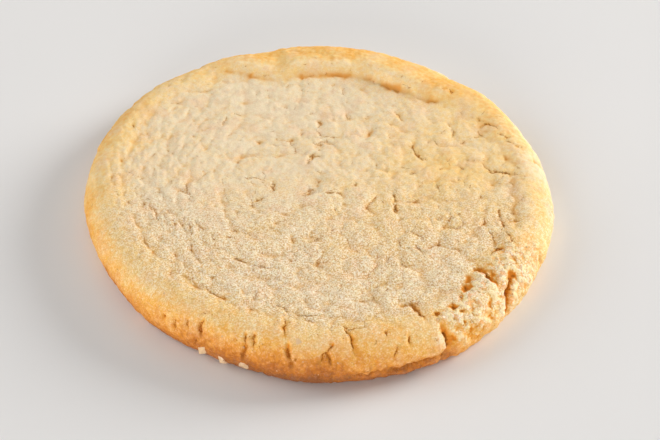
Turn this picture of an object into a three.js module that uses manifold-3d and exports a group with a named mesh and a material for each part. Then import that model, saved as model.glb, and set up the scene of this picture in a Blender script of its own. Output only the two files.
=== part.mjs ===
// A sugar cookie: one round baked biscuit with a rolled rim, a low plateau
// crazed with fine cracks, split sides and one corner broken open to the crumb.
//
// Millimetres, +Z up. The cookie lies on z = 0 and its origin is at the middle
// of its base. -Y is the front, and +Y is the back, where the rim stands highest.
//
// The whole crust is worked out on a flat "skin": a disc whose radius is the
// distance walked from the middle of the top, over the rim and down the side to
// the edge of the base. Relief is laid out on the skin in true millimetres, and
// the skin is then wrapped over the cookie's plain form.
//
// Angles are in degrees, from +X towards +Y.
import * as THREE from "three";
import { mergeVertices } from "three/addons/utils/BufferGeometryUtils.js";
import Module from "manifold-3d";

// ---- The plain form --------------------------------------------------------
const DIAMETER = 90;
const PLATEAU_HEIGHT = 8.8; // crust height inside the rim
const BULGE_HEIGHT = 3.3; // height at which the cookie is widest
const SHOULDER_RADIUS = 37.5; // where the flat top begins to roll over
const BASE_TUCK = 1.8; // how far the base's edge lies inside the widest line
const RADIUS = DIAMETER / 2;

// The outline is a little oval, and uneven by less than a millimetre.
// Each wave has lobes round the outline, a size and the angle of one lobe.
const OUTLINE_WAVES = [
  { lobes: 2, size: 1, at: -48 },
  { lobes: 3, size: 0.36, at: 50 },
  { lobes: 4, size: 0.17, at: -8 },
  { lobes: 5, size: 0.16, at: 7 },
  { lobes: 8, size: 0.1, at: 0 },
  { lobes: 9, size: 0.11, at: -14 },
  { lobes: 17, size: 0.07, at: 11 },
];

// ---- The rim ---------------------------------------------------------------
// The rim swells above the plateau behind a crease. Along the back it rolls in
// further and higher, and a fold crosses it there: on the fold's far side the
// rim has dropped, and it rises again from there.
const BACK_FROM = 44;
const BACK_TO = 114;
const BACK_FADE = 9; // the back gives way to the rest over this angle each side
const CREASE_RADIUS = 37.4;
const CREASE_RADIUS_BACK = 32.2;
const CREASE_STRAY = 0.6; // how far it runs crooked
const CREASE_STRAY_SIZE = 5; // from one of its bends to the next
const CREASE_DEPTH = 0.12;
const CREASE_DEPTH_BACK = 0.45;
const CREASE_WIDTH = 0.9;
const CREASE_LEAST = 0.35; // the share of its depth where it is faintest
const CREASE_BROKEN_SIZE = 6; // from one faint stretch to the next
const CREASE_BROKEN_FROM = -0.6; // the noise at which it is faintest
const CREASE_BROKEN_TO = 0.2; // and at which it is deepest
const RIM_SWELL = 0.7;
const RIM_SWELL_BACK = 1.5;
const RIM_RISE = 4.2; // from the crease to the crest, along the skin
const RIM_RISE_BACK = 2.6;
const RIM_RISE_START = -0.3; // where the rise begins, as a share of its length
const RIM_FALL = 9; // from the crest to where the swell has gone
const FOLD_ANGLE = 99.5;
const FOLD_STEP = 2.5;
const FOLD_DROP = 0.9;
const FOLD_DENT = 0.6; // how far the outline dips there, as a share of the drop
const FOLD_END = 114; // where the rim has risen again

// ---- Crazing of the plateau ------------------------------------------------
const PLATE_PITCH = 5; // from the middle of one plate to the next
const PLATE_WANDER = 0.8; // how far a plate's middle strays, as a share
const PLATE_STRAY = 0.9; // how far the plates' edges run crooked
const PLATE_STRAY_SIZE = 2.6; // from one of their bends to the next
const PLATE_LIFT = 0.13; // plates stand this much higher or lower
const PLATE_BLEND = 25; // how sharply one plate gives way to the next
const PLATE_DOME = 0.22; // how far a plate falls away towards its edge
const PLATE_CRACK_DEPTH = 0.3;
const PLATE_CRACK_WIDTH = 0.7;
const CRACK_SHUT = 0.3; // the chance below which an edge has no crack
const CRACK_OPEN = 0.85; // and above which its crack is fully open
const CRAZING_FROM = -1; // past the crease, the crazing begins to fade here
const CRAZING_TO = 5; // and has gone here
const LUMP_SIZE = 12;
const LUMP_HEIGHT = 0.2;
const GRIT_SIZE = 3.1;
const GRIT_HEIGHT = 0.1;
const FOOT_FADE = 2; // the relief fades over this much of the skin to the base's edge

// ---- Splits and pits that can be made out one by one -----------------------
// Each runs through points given as [distance from the middle, angle] on the
// skin.
const SPLITS = [
  // the broken corner
  { width: 2.1, depth: 1.3, through: [[36.2, -37.4], [38.2, -38.3], [41, -39.6]] },
  { width: 1.7, depth: 1.6, through: [[42.4, -34.2], [44.6, -38.4], [48.4, -41]] },
  { width: 1.1, depth: 0.8, through: [[38.6, -27.9], [37.6, -29.8], [37.2, -32.2]] },
  { width: 1.4, depth: 0.9, through: [[39.2, -25.5], [41, -27]] },
  { width: 1.6, depth: 1.5, through: [[42.6, -59.3], [45.6, -58.8], [48, -60]] },
  { width: 2.6, depth: 0.6, through: [[43.6, -56.4], [45.6, -53.6], [47.6, -51]] },
  { width: 1.1, depth: 0.8, through: [[35.8, -66.4], [38.2, -62.2], [40.4, -62.4]] },
  { width: 1.3, depth: 0.7, through: [[41.6, -53.2], [42.5, -50.4], [43.2, -48.6]] },
  // the torn lip along the foot
  { width: 1.1, depth: 0.8, through: [[48.2, -74], [48.2, -67], [47.8, -64.6], [48.4, -61]] },
  // splits down the front
  { width: 1.2, depth: 0.9, through: [[38.6, -98], [42.5, -98], [47.8, -95.5]] },
  { width: 1.2, depth: 1.1, through: [[42.6, -86.5], [45, -88], [47.4, -87]] },
  { width: 1.1, depth: 0.9, through: [[40, -83.5], [44.6, -81.5]] },
  { width: 1, depth: 1, through: [[42.8, -106], [45.2, -105.2]] },
  { width: 1.1, depth: 1.3, through: [[44.4, -107.6], [48, -107]] },
  { width: 1, depth: 1, through: [[43.8, -118.6], [46, -119]] },
  { width: 1, depth: 0.8, through: [[46.4, -121], [48, -120.4]] },
  { width: 0.9, depth: 0.7, through: [[45.4, -126], [47.4, -126.4]] },
  { width: 1.1, depth: 0.8, through: [[45.8, -130.4], [47, -129.6]] },
  { width: 0.9, depth: 0.6, through: [[40.2, -73], [42.2, -74.6]] },
  // wrinkles along the front of the rim
  { width: 1, depth: 0.55, through: [[38.2, -131], [37.5, -125], [38, -118], [38, -108]] },
  { width: 1, depth: 0.55, through: [[38, -104], [37.6, -94], [37, -87.5]] },
  { width: 0.9, depth: 0.5, through: [[39.6, -89], [40.4, -82]] },
  // splits in the plateau and the rim's top
  { width: 0.9, depth: 0.8, through: [[10.2, 88], [7.4, 100], [5.4, 116]] },
  { width: 0.9, depth: 0.8, through: [[8.2, 170], [9.2, -165], [11.4, -148], [13.6, -157]] },
  { width: 0.9, depth: 0.9, through: [[14, -10], [15.4, -23], [17, -33]] },
  { width: 0.8, depth: 0.7, through: [[25.2, -9], [26.6, -14]] },
  { width: 0.8, depth: 0.6, through: [[21.4, 31], [20.8, 23], [21.4, 17]] },
  { width: 0.9, depth: 0.8, through: [[24.6, -44], [28.8, -48.5]] },
  { width: 0.9, depth: 0.7, through: [[31, 6.4], [33.8, 5], [37.2, 1]] },
  { width: 1, depth: 0.9, through: [[36.6, 30], [38.2, 23], [38.8, 16], [40.8, 12.6]] },
  { width: 0.8, depth: 0.6, through: [[27.4, -118], [25.6, -109]] },
  { width: 0.9, depth: 0.8, through: [[35.6, 56.5], [32.8, 53]] },
  { width: 1, depth: 0.6, through: [[40, 101], [38, 95], [37, 87]] },
  { width: 0.8, depth: 0.5, through: [[27.4, 59], [24.8, 53], [24, 44]] },
];

const SPLIT_STRAY = 0.4; // how far a split runs crooked
const SPLIT_STRAY_SIZE = 1.7; // from one of its bends to the next
const SPLIT_TAPER = 0.12; // how far round a half wave its depth begins at either end

// The far side splits at random.
const SIDE_SPLITS = 22;
const SIDE_SPLITS_FROM = 8;
const SIDE_SPLITS_TO = 168;
const SIDE_SPLIT_SPREAD = 0.7; // how far one strays towards the next, as a share
const SIDE_SPLIT_TOP = [42.5, 45.5]; // the skin distances between which it begins
const SIDE_SPLIT_LENGTH = [1.7, 4.2];
const SIDE_SPLIT_LEAN = [-1.2, 1.2]; // degrees
const SIDE_SPLIT_WIDTH = [0.6, 1.1];
const SIDE_SPLIT_DEPTH = [0.3, 0.9];

// ---- The broken corner -----------------------------------------------------
const BREAK_RADIUS = 42.5; // skin distance of its middle
const BREAK_ANGLE = -46;
const BREAK_DEEP = 6.5; // half its size across the rim
const BREAK_LONG = 13.5; // half its size along the rim
const BREAK_EDGE = [0.6, 1.05]; // where it begins and ends to fade, as shares of its size
const BREAK_RAGGED = 0.22; // how uneven its edge is, as a share of its size
const BREAK_RAGGED_SIZE = 3; // from one bay of that edge to the next
const BREAK_LOSS = 0.3; // crust lost over the whole corner
const CRUMB_SIZE = 2.6; // from one clump of crumb to the next
const CRUMB_WANDER = 0.9; // how far a clump's middle strays, as a share
const CRUMB_STRAY = 0.5; // how far the clumps' edges run crooked
const CRUMB_STRAY_SIZE = 1.9; // from one of their bends to the next
const CRUMB_HEIGHT = 0.6;
const CRUMB_SLOPE = 1.3; // how far a clump falls away in its size, as a share of its height

// ---- Sugar crystals baked on to the crust ----------------------------------
const CRYSTALS = [
  { at: [49.3, -118], size: 1.3 },
  { at: [49.5, -112.5], size: 1.1 },
  { at: [49.8, -107], size: 1.3 },
  { at: [43, -94], size: 1.1 },
  { at: [42.4, -57.5], size: 1.2 },
  { at: [41.6, -59.6], size: 1 },
  { at: [41.4, -34], size: 1 },
  { at: [39.4, -50], size: 1 },
];
const CRYSTAL_FORM = [1.2, 0.95, 0.8]; // its three widths, as shares of its size
const CRYSTAL_RAISE = 0.1; // how far its middle stands out of the crust, as a share

// ---- The mesh --------------------------------------------------------------
const RINGS = 41; // rings of skin points, each six points longer than the last
const SLIDE = 0.5; // a point this near a crack slides on to it, in ring steps
const SLIDE_CRAZED = 0.5; // the least crazing whose cracks draw points
const SLIDE_OPEN = 0.35; // and how far open such a crack is at least
const THINNEST = 0.25; // least share of its even size that sliding leaves a facet
const BASE_PLATE = 30; // reach of the large facet in the middle of the base

// ---- Small helpers ---------------------------------------------------------
const radians = THREE.MathUtils.degToRad;
const degrees = THREE.MathUtils.radToDeg;
const { clamp, smoothstep, lerp } = THREE.MathUtils;

/** A bell that is 1 at 0 and has mostly gone at half its width. */
function bell(distance, width) {
  return Math.exp(-((distance / (0.6 * width)) ** 2));
}

/** A repeatable number from 0 to 1 for a pair of whole numbers and a seed. */
function chance(i, j, seed) {
  const wave = Math.sin(i * 127.1 + j * 311.7 + seed * 74.7) * 43758.5453;
  return wave - Math.floor(wave);
}

/** Smooth noise from -1 to 1 at a point, with bumps of a given size. */
function noise(point, size, seed) {
  const [x, y] = [point.x / size, point.y / size];
  const [i, j] = [Math.floor(x), Math.floor(y)];
  const across = smoothstep(x - i, 0, 1);
  const up = smoothstep(y - j, 0, 1);
  const low = lerp(chance(i, j, seed), chance(i + 1, j, seed), across);
  const high = lerp(chance(i, j + 1, seed), chance(i + 1, j + 1, seed), across);
  return 2 * lerp(low, high, up) - 1;
}

/** A point moved about by noise of a given size and reach. */
function strayed(point, reach, size, seed) {
  const by = (n) => reach * noise(point, size, seed + n);
  return new THREE.Vector2(point.x + by(0), point.y + by(1));
}

/** The cells round a point of an uneven comb with one cell a unit square. */
function cellsRound(x, y, wander, seed) {
  const cells = [];
  const stray = (i, j, n) => 0.5 + wander * (chance(i, j, seed + n) - 0.5);
  for (let i = Math.floor(x) - 2; i <= Math.floor(x) + 2; i++) {
    for (let j = Math.floor(y) - 2; j <= Math.floor(y) + 2; j++) {
      const middle = new THREE.Vector2(i + stray(i, j, 0), j + stray(i, j, 1));
      cells.push({ i, j, middle, distance: Math.hypot(middle.x - x, middle.y - y) });
    }
  }
  return cells.sort((a, b) => a.distance - b.distance);
}

/** The skin point at a distance from the middle and an angle in degrees. */
function skinPoint([distance, angle]) {
  return new THREE.Vector2(distance, 0).rotateAround(new THREE.Vector2(), radians(angle));
}

// ---- The plain form --------------------------------------------------------
/** A quarter ellipse: the length walked along it at equal steps of its turn. */
function quarterEllipse(wide, high, steps = 64) {
  const walked = [0];
  for (let i = 0; i < steps; i++) {
    const [a, b] = [i, i + 1].map((n) => ((n / steps) * Math.PI) / 2);
    const run = wide * (Math.sin(b) - Math.sin(a));
    const fall = high * (Math.cos(a) - Math.cos(b));
    walked.push(walked[i] + Math.hypot(run, fall));
  }
  return walked;
}

/** The turn at which a quarter ellipse has been walked for a given length. */
function turnAt(walked, length) {
  const steps = walked.length - 1;
  let i = 1;
  while (i < steps && walked[i] < length) i++;
  const share = (length - walked[i - 1]) / (walked[i] - walked[i - 1]);
  return (((i - 1 + share) / steps) * Math.PI) / 2;
}

const UPPER = quarterEllipse(RADIUS - SHOULDER_RADIUS, PLATEAU_HEIGHT - BULGE_HEIGHT);
const LOWER = quarterEllipse(BULGE_HEIGHT, BASE_TUCK);
const BULGE_AT = SHOULDER_RADIUS + UPPER.at(-1); // skin distance of the widest line
const SKIN_RADIUS = BULGE_AT + LOWER.at(-1);

/** How far the rim has dropped beside the fold, in a direction. */
function foldDrop(angle) {
  const past = degrees(angle) - FOLD_ANGLE;
  const recovered = smoothstep(past, FOLD_STEP, FOLD_END - FOLD_ANGLE);
  return FOLD_DROP * smoothstep(past, 0, FOLD_STEP) * (1 - recovered);
}

/** The cookie's widest radius in a direction. */
function outline(angle) {
  const wave = ({ lobes, size, at }) => size * Math.cos(lobes * (angle - radians(at)));
  const plain = OUTLINE_WAVES.reduce((radius, each) => radius + wave(each), RADIUS);
  return plain - FOLD_DENT * foldDrop(angle);
}

/** Where a skin point lies on the plain form, and which way its crust faces. */
function plainForm(point) {
  const walked = point.length();
  const angle = point.angle();
  const widest = outline(angle);
  const shoulder = (SHOULDER_RADIUS * widest) / RADIUS;
  const roll = widest - shoulder;
  const drop = PLATEAU_HEIGHT - BULGE_HEIGHT;
  let radius = (walked * widest) / RADIUS;
  let height = PLATEAU_HEIGHT;
  let [out, up] = [0, 1];
  if (walked > BULGE_AT) {
    const turn = turnAt(LOWER, Math.min(walked, SKIN_RADIUS) - BULGE_AT);
    radius = widest - BASE_TUCK * (1 - Math.cos(turn));
    height = BULGE_HEIGHT * (1 - Math.sin(turn));
    [out, up] = [BULGE_HEIGHT * Math.cos(turn), -BASE_TUCK * Math.sin(turn)];
  } else if (walked > SHOULDER_RADIUS) {
    const turn = turnAt(UPPER, walked - SHOULDER_RADIUS);
    radius = shoulder + roll * Math.sin(turn);
    height = BULGE_HEIGHT + drop * Math.cos(turn);
    [out, up] = [drop * Math.sin(turn), roll * Math.cos(turn)];
  }
  const round = new THREE.Vector3(Math.cos(angle), Math.sin(angle), 0);
  const place = round.clone().multiplyScalar(radius).setZ(height);
  const facing = round.multiplyScalar(out).setZ(up).normalize();
  return { place, facing };
}

// ---- The rim ---------------------------------------------------------------
/** How much a direction belongs to the back of the rim, from 0 to 1. */
function backness(angle) {
  const from = smoothstep(degrees(angle), BACK_FROM - BACK_FADE, BACK_FROM + BACK_FADE);
  const to = smoothstep(degrees(angle), BACK_TO - BACK_FADE, BACK_TO + BACK_FADE);
  return from * (1 - to);
}

/** How far a skin point lies outside the crease. */
function pastCrease(point) {
  const angle = point.angle();
  const crease = lerp(CREASE_RADIUS, CREASE_RADIUS_BACK, backness(angle));
  return point.length() - crease - CREASE_STRAY * noise(point, CREASE_STRAY_SIZE, 5);
}

/** The height that the swollen rim and its crease add. */
function rimSwell(point) {
  const back = backness(point.angle());
  const past = pastCrease(point);
  const reach = lerp(RIM_RISE, RIM_RISE_BACK, back);
  const rise = smoothstep(past, RIM_RISE_START * reach, reach);
  const fall = 1 - smoothstep(past, reach, reach + RIM_FALL);
  const swell = lerp(RIM_SWELL, RIM_SWELL_BACK, back) - foldDrop(point.angle());
  const lie = noise(point, CREASE_BROKEN_SIZE, 8);
  const whole = smoothstep(lie, CREASE_BROKEN_FROM, CREASE_BROKEN_TO);
  const depth = lerp(CREASE_DEPTH, CREASE_DEPTH_BACK, back) * lerp(CREASE_LEAST, 1, whole);
  return swell * rise * fall - depth * bell(past, CREASE_WIDTH);
}

// ---- Crazing ---------------------------------------------------------------
/** The crazing round a skin point: its plate's height, and the cracks near by. */
function crazing(point) {
  const at = strayed(point, PLATE_STRAY, PLATE_STRAY_SIZE, 11).divideScalar(PLATE_PITCH);
  const [own, ...others] = cellsRound(at.x, at.y, PLATE_WANDER, 1);
  let [weights, lifted] = [1, chance(own.i, own.j, 4)];
  for (const { i, j, distance } of others) {
    const weight = Math.exp(-PLATE_BLEND * (distance - own.distance));
    weights += weight;
    lifted += weight * chance(i, j, 4);
  }
  const lift = PLATE_LIFT * ((2 * lifted) / weights - 1);
  const cracks = others.map(({ i, j, middle }) => {
    const across = middle.clone().sub(own.middle).normalize();
    const halfway = middle.clone().add(own.middle).multiplyScalar(0.5);
    const gap = PLATE_PITCH * halfway.sub(at).dot(across);
    const strength = smoothstep(chance(i + own.i, j + own.j, 3), CRACK_SHUT, CRACK_OPEN);
    return { gap, across, strength };
  });
  return { height: lift - PLATE_DOME * own.distance ** 2, cracks };
}

/** How crazed the crust is at a skin point: the crazing fades over the rim. */
function crazed(point) {
  return 1 - smoothstep(pastCrease(point), CRAZING_FROM, CRAZING_TO);
}

// ---- The broken corner -----------------------------------------------------
/** How far a skin point is inside the broken corner, from 0 outside to 1. */
function brokenness(point) {
  const away = point.clone().rotateAround(new THREE.Vector2(), -radians(BREAK_ANGLE));
  const reach = Math.hypot((away.x - BREAK_RADIUS) / BREAK_DEEP, away.y / BREAK_LONG);
  const ragged = BREAK_RAGGED * noise(point, BREAK_RAGGED_SIZE, 21);
  return 1 - smoothstep(reach + ragged, ...BREAK_EDGE);
}

/** Clumps of torn crumb, and the crust lost between them. */
function crumb(point) {
  const share = brokenness(point);
  if (share === 0) return 0;
  const at = strayed(point, CRUMB_STRAY, CRUMB_STRAY_SIZE, 31).divideScalar(CRUMB_SIZE);
  const [own] = cellsRound(at.x, at.y, CRUMB_WANDER, 33);
  const clump = chance(own.i, own.j, 35) - CRUMB_SLOPE * own.distance;
  return share * (CRUMB_HEIGHT * clump - BREAK_LOSS);
}

// ---- Splits ----------------------------------------------------------------
/** A random split down the side: which one of them, counted from 0. */
function sideSplit(index) {
  const draw = (ends, n) => lerp(...ends, chance(index, n, 51));
  const share = (index + draw([0, SIDE_SPLIT_SPREAD], 0)) / SIDE_SPLITS;
  const angle = lerp(SIDE_SPLITS_FROM, SIDE_SPLITS_TO, share);
  const top = draw(SIDE_SPLIT_TOP, 1);
  const foot = top + draw(SIDE_SPLIT_LENGTH, 2);
  return {
    width: draw(SIDE_SPLIT_WIDTH, 4),
    depth: draw(SIDE_SPLIT_DEPTH, 5),
    through: [[top, angle], [foot, angle + draw(SIDE_SPLIT_LEAN, 3)]],
  };
}

const splits = [...SPLITS, ...Array.from({ length: SIDE_SPLITS }, (_, i) => sideSplit(i))].map(
  (split) => ({ ...split, through: split.through.map(skinPoint) }),
);

/** The nearest point of a split, and its depth there, which tapers to its ends. */
function nearestOnSplit({ through, depth, width }, point) {
  const stretches = through.slice(1).map((end, i) => ({ start: through[i], end }));
  const lengths = stretches.map(({ start, end }) => start.distanceTo(end));
  const whole = lengths.reduce((sum, length) => sum + length, 0);
  let best = { distance: Infinity };
  let walked = 0;
  stretches.forEach(({ start, end }, i) => {
    const run = end.clone().sub(start);
    const share = clamp(point.clone().sub(start).dot(run) / run.lengthSq(), 0, 1);
    const nearest = start.clone().addScaledVector(run, share);
    const distance = nearest.distanceTo(point);
    const along = (walked + share * lengths[i]) / whole;
    const taper = Math.sqrt(Math.sin(Math.PI * lerp(SPLIT_TAPER, 1 - SPLIT_TAPER, along)));
    if (distance < best.distance) best = { distance, nearest, depth: depth * taper, width };
    walked += lengths[i];
  });
  return best;
}

/** A skin point strayed a little, so that a split drawn straight runs crooked. */
function crooked(point) {
  return strayed(point, SPLIT_STRAY, SPLIT_STRAY_SIZE, 61);
}

/** The depth of the deepest split at a skin point. */
function splitDepth(point) {
  const at = crooked(point);
  return splits.reduce((deepest, split) => {
    const { distance, depth, width } = nearestOnSplit(split, at);
    return Math.max(deepest, depth * bell(distance, width));
  }, 0);
}

// ---- The crust -------------------------------------------------------------
/** How far the crust stands out of the plain form at a skin point. */
function relief(point) {
  const lump = LUMP_HEIGHT * noise(point, LUMP_SIZE, 71);
  const grit = GRIT_HEIGHT * noise(point, GRIT_SIZE, 72);
  const { height, cracks } = crazing(point);
  const crack = Math.max(...cracks.map((c) => c.strength * bell(c.gap, PLATE_CRACK_WIDTH)));
  const plates = crazed(point) * (height - PLATE_CRACK_DEPTH * crack);
  const raised = lump + grit + rimSwell(point) + plates + crumb(point);
  const aboveFoot = clamp((SKIN_RADIUS - point.length()) / FOOT_FADE, 0, 1);
  return aboveFoot * (raised - splitDepth(point));
}

/** The place on the finished crust of a skin point. */
function crust(point) {
  const { place, facing } = plainForm(point);
  return place.addScaledVector(facing, relief(point));
}

/** A skin point slid on to the nearest crack or split within reach. */
function slid(point, reach) {
  const at = crooked(point);
  let best = { distance: reach, move: new THREE.Vector2() };
  for (const split of splits) {
    const { distance, nearest } = nearestOnSplit(split, at);
    if (distance < best.distance) best = { distance, move: nearest.sub(at) };
  }
  if (best.distance === reach && crazed(point) > SLIDE_CRAZED) {
    for (const { gap, across, strength } of crazing(point).cracks) {
      if (strength > SLIDE_OPEN && gap < best.distance) {
        best = { distance: gap, move: across.multiplyScalar(gap) };
      }
    }
  }
  return point.clone().add(best.move);
}

// ---- The solid -------------------------------------------------------------
/** The first point's number in a ring: one middle point, then 6, 12, 18 ... */
function firstOfRing(ring) {
  return ring === 0 ? 0 : 1 + 3 * ring * (ring - 1);
}

/** The facets of the skin, each as three point numbers. */
function skinFacets() {
  const facets = [];
  for (let ring = 1; ring <= RINGS; ring++) {
    const inner = (i) => firstOfRing(ring - 1) + (i % Math.max(6 * (ring - 1), 1));
    const outer = (i) => firstOfRing(ring) + (i % (6 * ring));
    for (let i = 0; i < 6 * ring; i++) {
      const b = i - Math.floor(i / ring); // the inner ring has one point less a side
      facets.push([inner(b), outer(i), outer(i + 1)]);
      if (i % ring < ring - 1) facets.push([inner(b), outer(i + 1), inner(b + 1)]);
    }
  }
  return facets;
}

/** The points of the skin, slid on to the cracks where no facet folds over. */
function skinPoints(facets) {
  const step = SKIN_RADIUS / RINGS;
  const even = [new THREE.Vector2()];
  for (let ring = 1; ring <= RINGS; ring++) {
    for (let i = 0; i < 6 * ring; i++) even.push(skinPoint([ring * step, (60 * i) / ring]));
  }
  const points = even.map((point, i) =>
    i < firstOfRing(RINGS) ? slid(point, SLIDE * step) : point,
  );
  const area = (a, b, c) => (b.x - a.x) * (c.y - a.y) - (c.x - a.x) * (b.y - a.y);
  const size = (facet, from) => area(...facet.map((i) => from[i]));
  let folded;
  do {
    folded = facets.filter((facet) => size(facet, points) < THINNEST * size(facet, even));
    for (const i of folded.flat()) points[i] = even[i];
  } while (folded.length > 0);
  return points;
}

/** The facets of the base: a large one in the middle, and three fans round it. */
function baseFacets(corners) {
  const plate = [60, 180, 300].map((angle) => {
    const { x, y } = skinPoint([BASE_PLATE, angle]);
    return corners.push(new THREE.Vector3(x, y, 0)) - 1;
  });
  const rim = (i) => firstOfRing(RINGS) + i;
  const hub = (i) => plate[Math.floor(i / (2 * RINGS))];
  const facets = [plate.toReversed()];
  for (let i = 0; i < 6 * RINGS; i++) {
    const next = (i + 1) % (6 * RINGS);
    facets.push([hub(i), rim(next), rim(i)]);
    if (hub(i) !== hub(next)) facets.push([hub(i), hub(next), rim(next)]);
  }
  return facets;
}

/** The closed cookie: its crust, and the flat base that it lies on. */
function cookieGeometry() {
  const facets = skinFacets();
  const corners = skinPoints(facets).map(crust);
  const faces = [...facets, ...baseFacets(corners)].flat();
  return new THREE.BufferGeometry().setFromPoints(corners).setIndex(faces);
}

/** One sugar crystal: a blunt lump of twenty facets, half sunk in the crust. */
function crystalGeometry({ at, size }, index) {
  const skin = skinPoint(at);
  const turns = [1, 2, 3].map((axis) => Math.PI * chance(index, axis, 81));
  const turned = new THREE.Quaternion().setFromEuler(new THREE.Euler(...turns));
  const place = crust(skin).addScaledVector(plainForm(skin).facing, CRYSTAL_RAISE * size);
  const form = new THREE.Vector3(...CRYSTAL_FORM).multiplyScalar(size);
  const lump = new THREE.IcosahedronGeometry(0.5);
  return lump.applyMatrix4(new THREE.Matrix4().compose(place, turned, form));
}

// ---- Joining ---------------------------------------------------------------
const wasm = await Module();
wasm.setup();

/** A closed geometry as a solid. */
function solid(geometry) {
  const bare = geometry.clone();
  for (const name of ["normal", "uv"]) bare.deleteAttribute(name);
  const merged = mergeVertices(bare, 1e-4);
  const vertProperties = new Float32Array(merged.attributes.position.array);
  const triVerts = new Uint32Array(merged.index.array);
  return new wasm.Manifold(new wasm.Mesh({ numProp: 3, vertProperties, triVerts }));
}

/** A solid as a geometry, moved so that the middle of its base is the origin. */
function centred(manifold) {
  const { vertProperties, triVerts } = manifold.getMesh();
  const geometry = new THREE.BufferGeometry()
    .setAttribute("position", new THREE.BufferAttribute(vertProperties, 3))
    .setIndex(new THREE.BufferAttribute(triVerts, 1));
  geometry.computeBoundingBox();
  const { min, max } = geometry.boundingBox;
  geometry.translate(-(min.x + max.x) / 2, -(min.y + max.y) / 2, -min.z);
  geometry.computeVertexNormals();
  return geometry;
}

/** The cookie, with its largest sugar crystals baked on. */
function cookieMesh() {
  const crystals = CRYSTALS.map(crystalGeometry).map(solid);
  const joined = crystals.reduce((body, crystal) => body.add(crystal), solid(cookieGeometry()));
  const baked = new THREE.MeshStandardMaterial({
    color: "#e6c48d",
    roughness: 0.8,
    metalness: 0,
  });
  const mesh = new THREE.Mesh(centred(joined), baked);
  mesh.name = "cookie";
  return mesh;
}

const sugarCookie = new THREE.Group();
sugarCookie.add(cookieMesh());

export default sugarCookie;
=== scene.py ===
"""A sugar cookie: one round of baked dough with a rolled rim, a crazed top and a broken corner.

Sizes are millimetres and angles are degrees, from +X towards +Y, until a mesh is made in
metres.  -Y is the front and +Y the back, where the rim stands highest.

The crust is laid out on a flat "skin": a disc whose radius is the distance walked from the
middle of the top, over the rim and down the side to the foot.  A skin point is a complex
number, so its distance from the middle is abs(skin).  Relief is worked out on the skin in
true millimetres, and the skin is then wrapped over the cookie's plain form.

A crack has two parts.  Its shoulders are relief in the mesh.  Its middle is thinner than
the mesh's facets, so the mesh keeps the signed distance from it, in half widths, and the
finish paints it from that, as a thin dark line of painted shade.  Such a distance is called
a seam here.
"""

import logging
import math
from dataclasses import dataclass, field

import bmesh
import bpy
import numpy as np
from mathutils import Matrix, Vector


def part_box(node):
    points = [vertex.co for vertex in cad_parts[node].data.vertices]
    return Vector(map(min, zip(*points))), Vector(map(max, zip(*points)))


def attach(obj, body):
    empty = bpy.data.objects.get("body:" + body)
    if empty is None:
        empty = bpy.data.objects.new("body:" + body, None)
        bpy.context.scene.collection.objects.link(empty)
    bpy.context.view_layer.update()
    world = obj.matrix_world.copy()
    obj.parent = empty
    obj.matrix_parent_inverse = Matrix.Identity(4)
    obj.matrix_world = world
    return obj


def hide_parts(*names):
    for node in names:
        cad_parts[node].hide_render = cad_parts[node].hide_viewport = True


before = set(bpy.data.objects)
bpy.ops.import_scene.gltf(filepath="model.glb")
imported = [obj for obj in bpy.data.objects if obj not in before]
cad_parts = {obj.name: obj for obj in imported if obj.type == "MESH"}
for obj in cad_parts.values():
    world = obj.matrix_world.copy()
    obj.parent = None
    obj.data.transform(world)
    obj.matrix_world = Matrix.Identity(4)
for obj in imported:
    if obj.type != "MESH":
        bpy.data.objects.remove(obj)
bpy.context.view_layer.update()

LOG = logging.getLogger("sugar_cookie")
NODE = "cookie"
BODY = "root"
METRES = 0.001  # metres in a millimetre
SEAM_LIMIT = 9.0  # half widths from a crevice, past which it is of no account
NEARLY_NONE = 1e-6  # stands in for 0 where something is divided by it
BELL_FALL = 0.6  # of a bell's width: how far out it has fallen to 1 in e
SCRAMBLE = (127.1, 311.7, 74.7, 43758.5453)  # large and unrelated, so that no pattern shows
CRUMB_WANDER = 0.9  # how far the middles of crumbs stray from a square comb
BACK_OF_TOP = (0.0, 22.0)  # along +Y, where the crust of the front gives way to the back's
RIM_BEGINS = (-2.0, 5.0)  # past the crease, where the crust of the top gives way to the rim's
HOLLOW_DEPTH = 0.5  # how far below its neighbours a point is fully hollow

Floats = np.ndarray
Skin = np.ndarray
Hex = str
Ends = tuple[float, float]
Patches = tuple[float, float, float]  # the size of patches, and the noise that they show in
Spread = tuple[float, float, float, float]  # a value's two ends, and what each becomes
Tree = bpy.types.NodeTree
Socket = bpy.types.NodeSocket


# ---- Small helpers ----------------------------------------------------------
def smoothstep(value: Floats, low: float, high: float) -> Floats:
    """Eases a value from 0 at low to 1 at high."""
    share = np.clip((value - low) / (high - low), 0, 1)
    return share * share * (3 - 2 * share)


def lerp(start: Floats, end: Floats, share: Floats) -> Floats:
    """The value a share of the way from start to end."""
    return start + (end - start) * share


def bell(distance: Floats, width: Floats) -> Floats:
    """A bell that is 1 at 0 and has mostly gone at half its width."""
    return np.exp(-((distance / (BELL_FALL * width)) ** 2))


def chance(i: Floats, j: Floats, seed: float) -> Floats:
    """A repeatable number from 0 to 1 for a pair of whole numbers and a seed."""
    for_i, for_j, for_seed, stretch = SCRAMBLE
    wave = np.sin(i * for_i + j * for_j + seed * for_seed) * stretch
    return wave - np.floor(wave)


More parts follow.
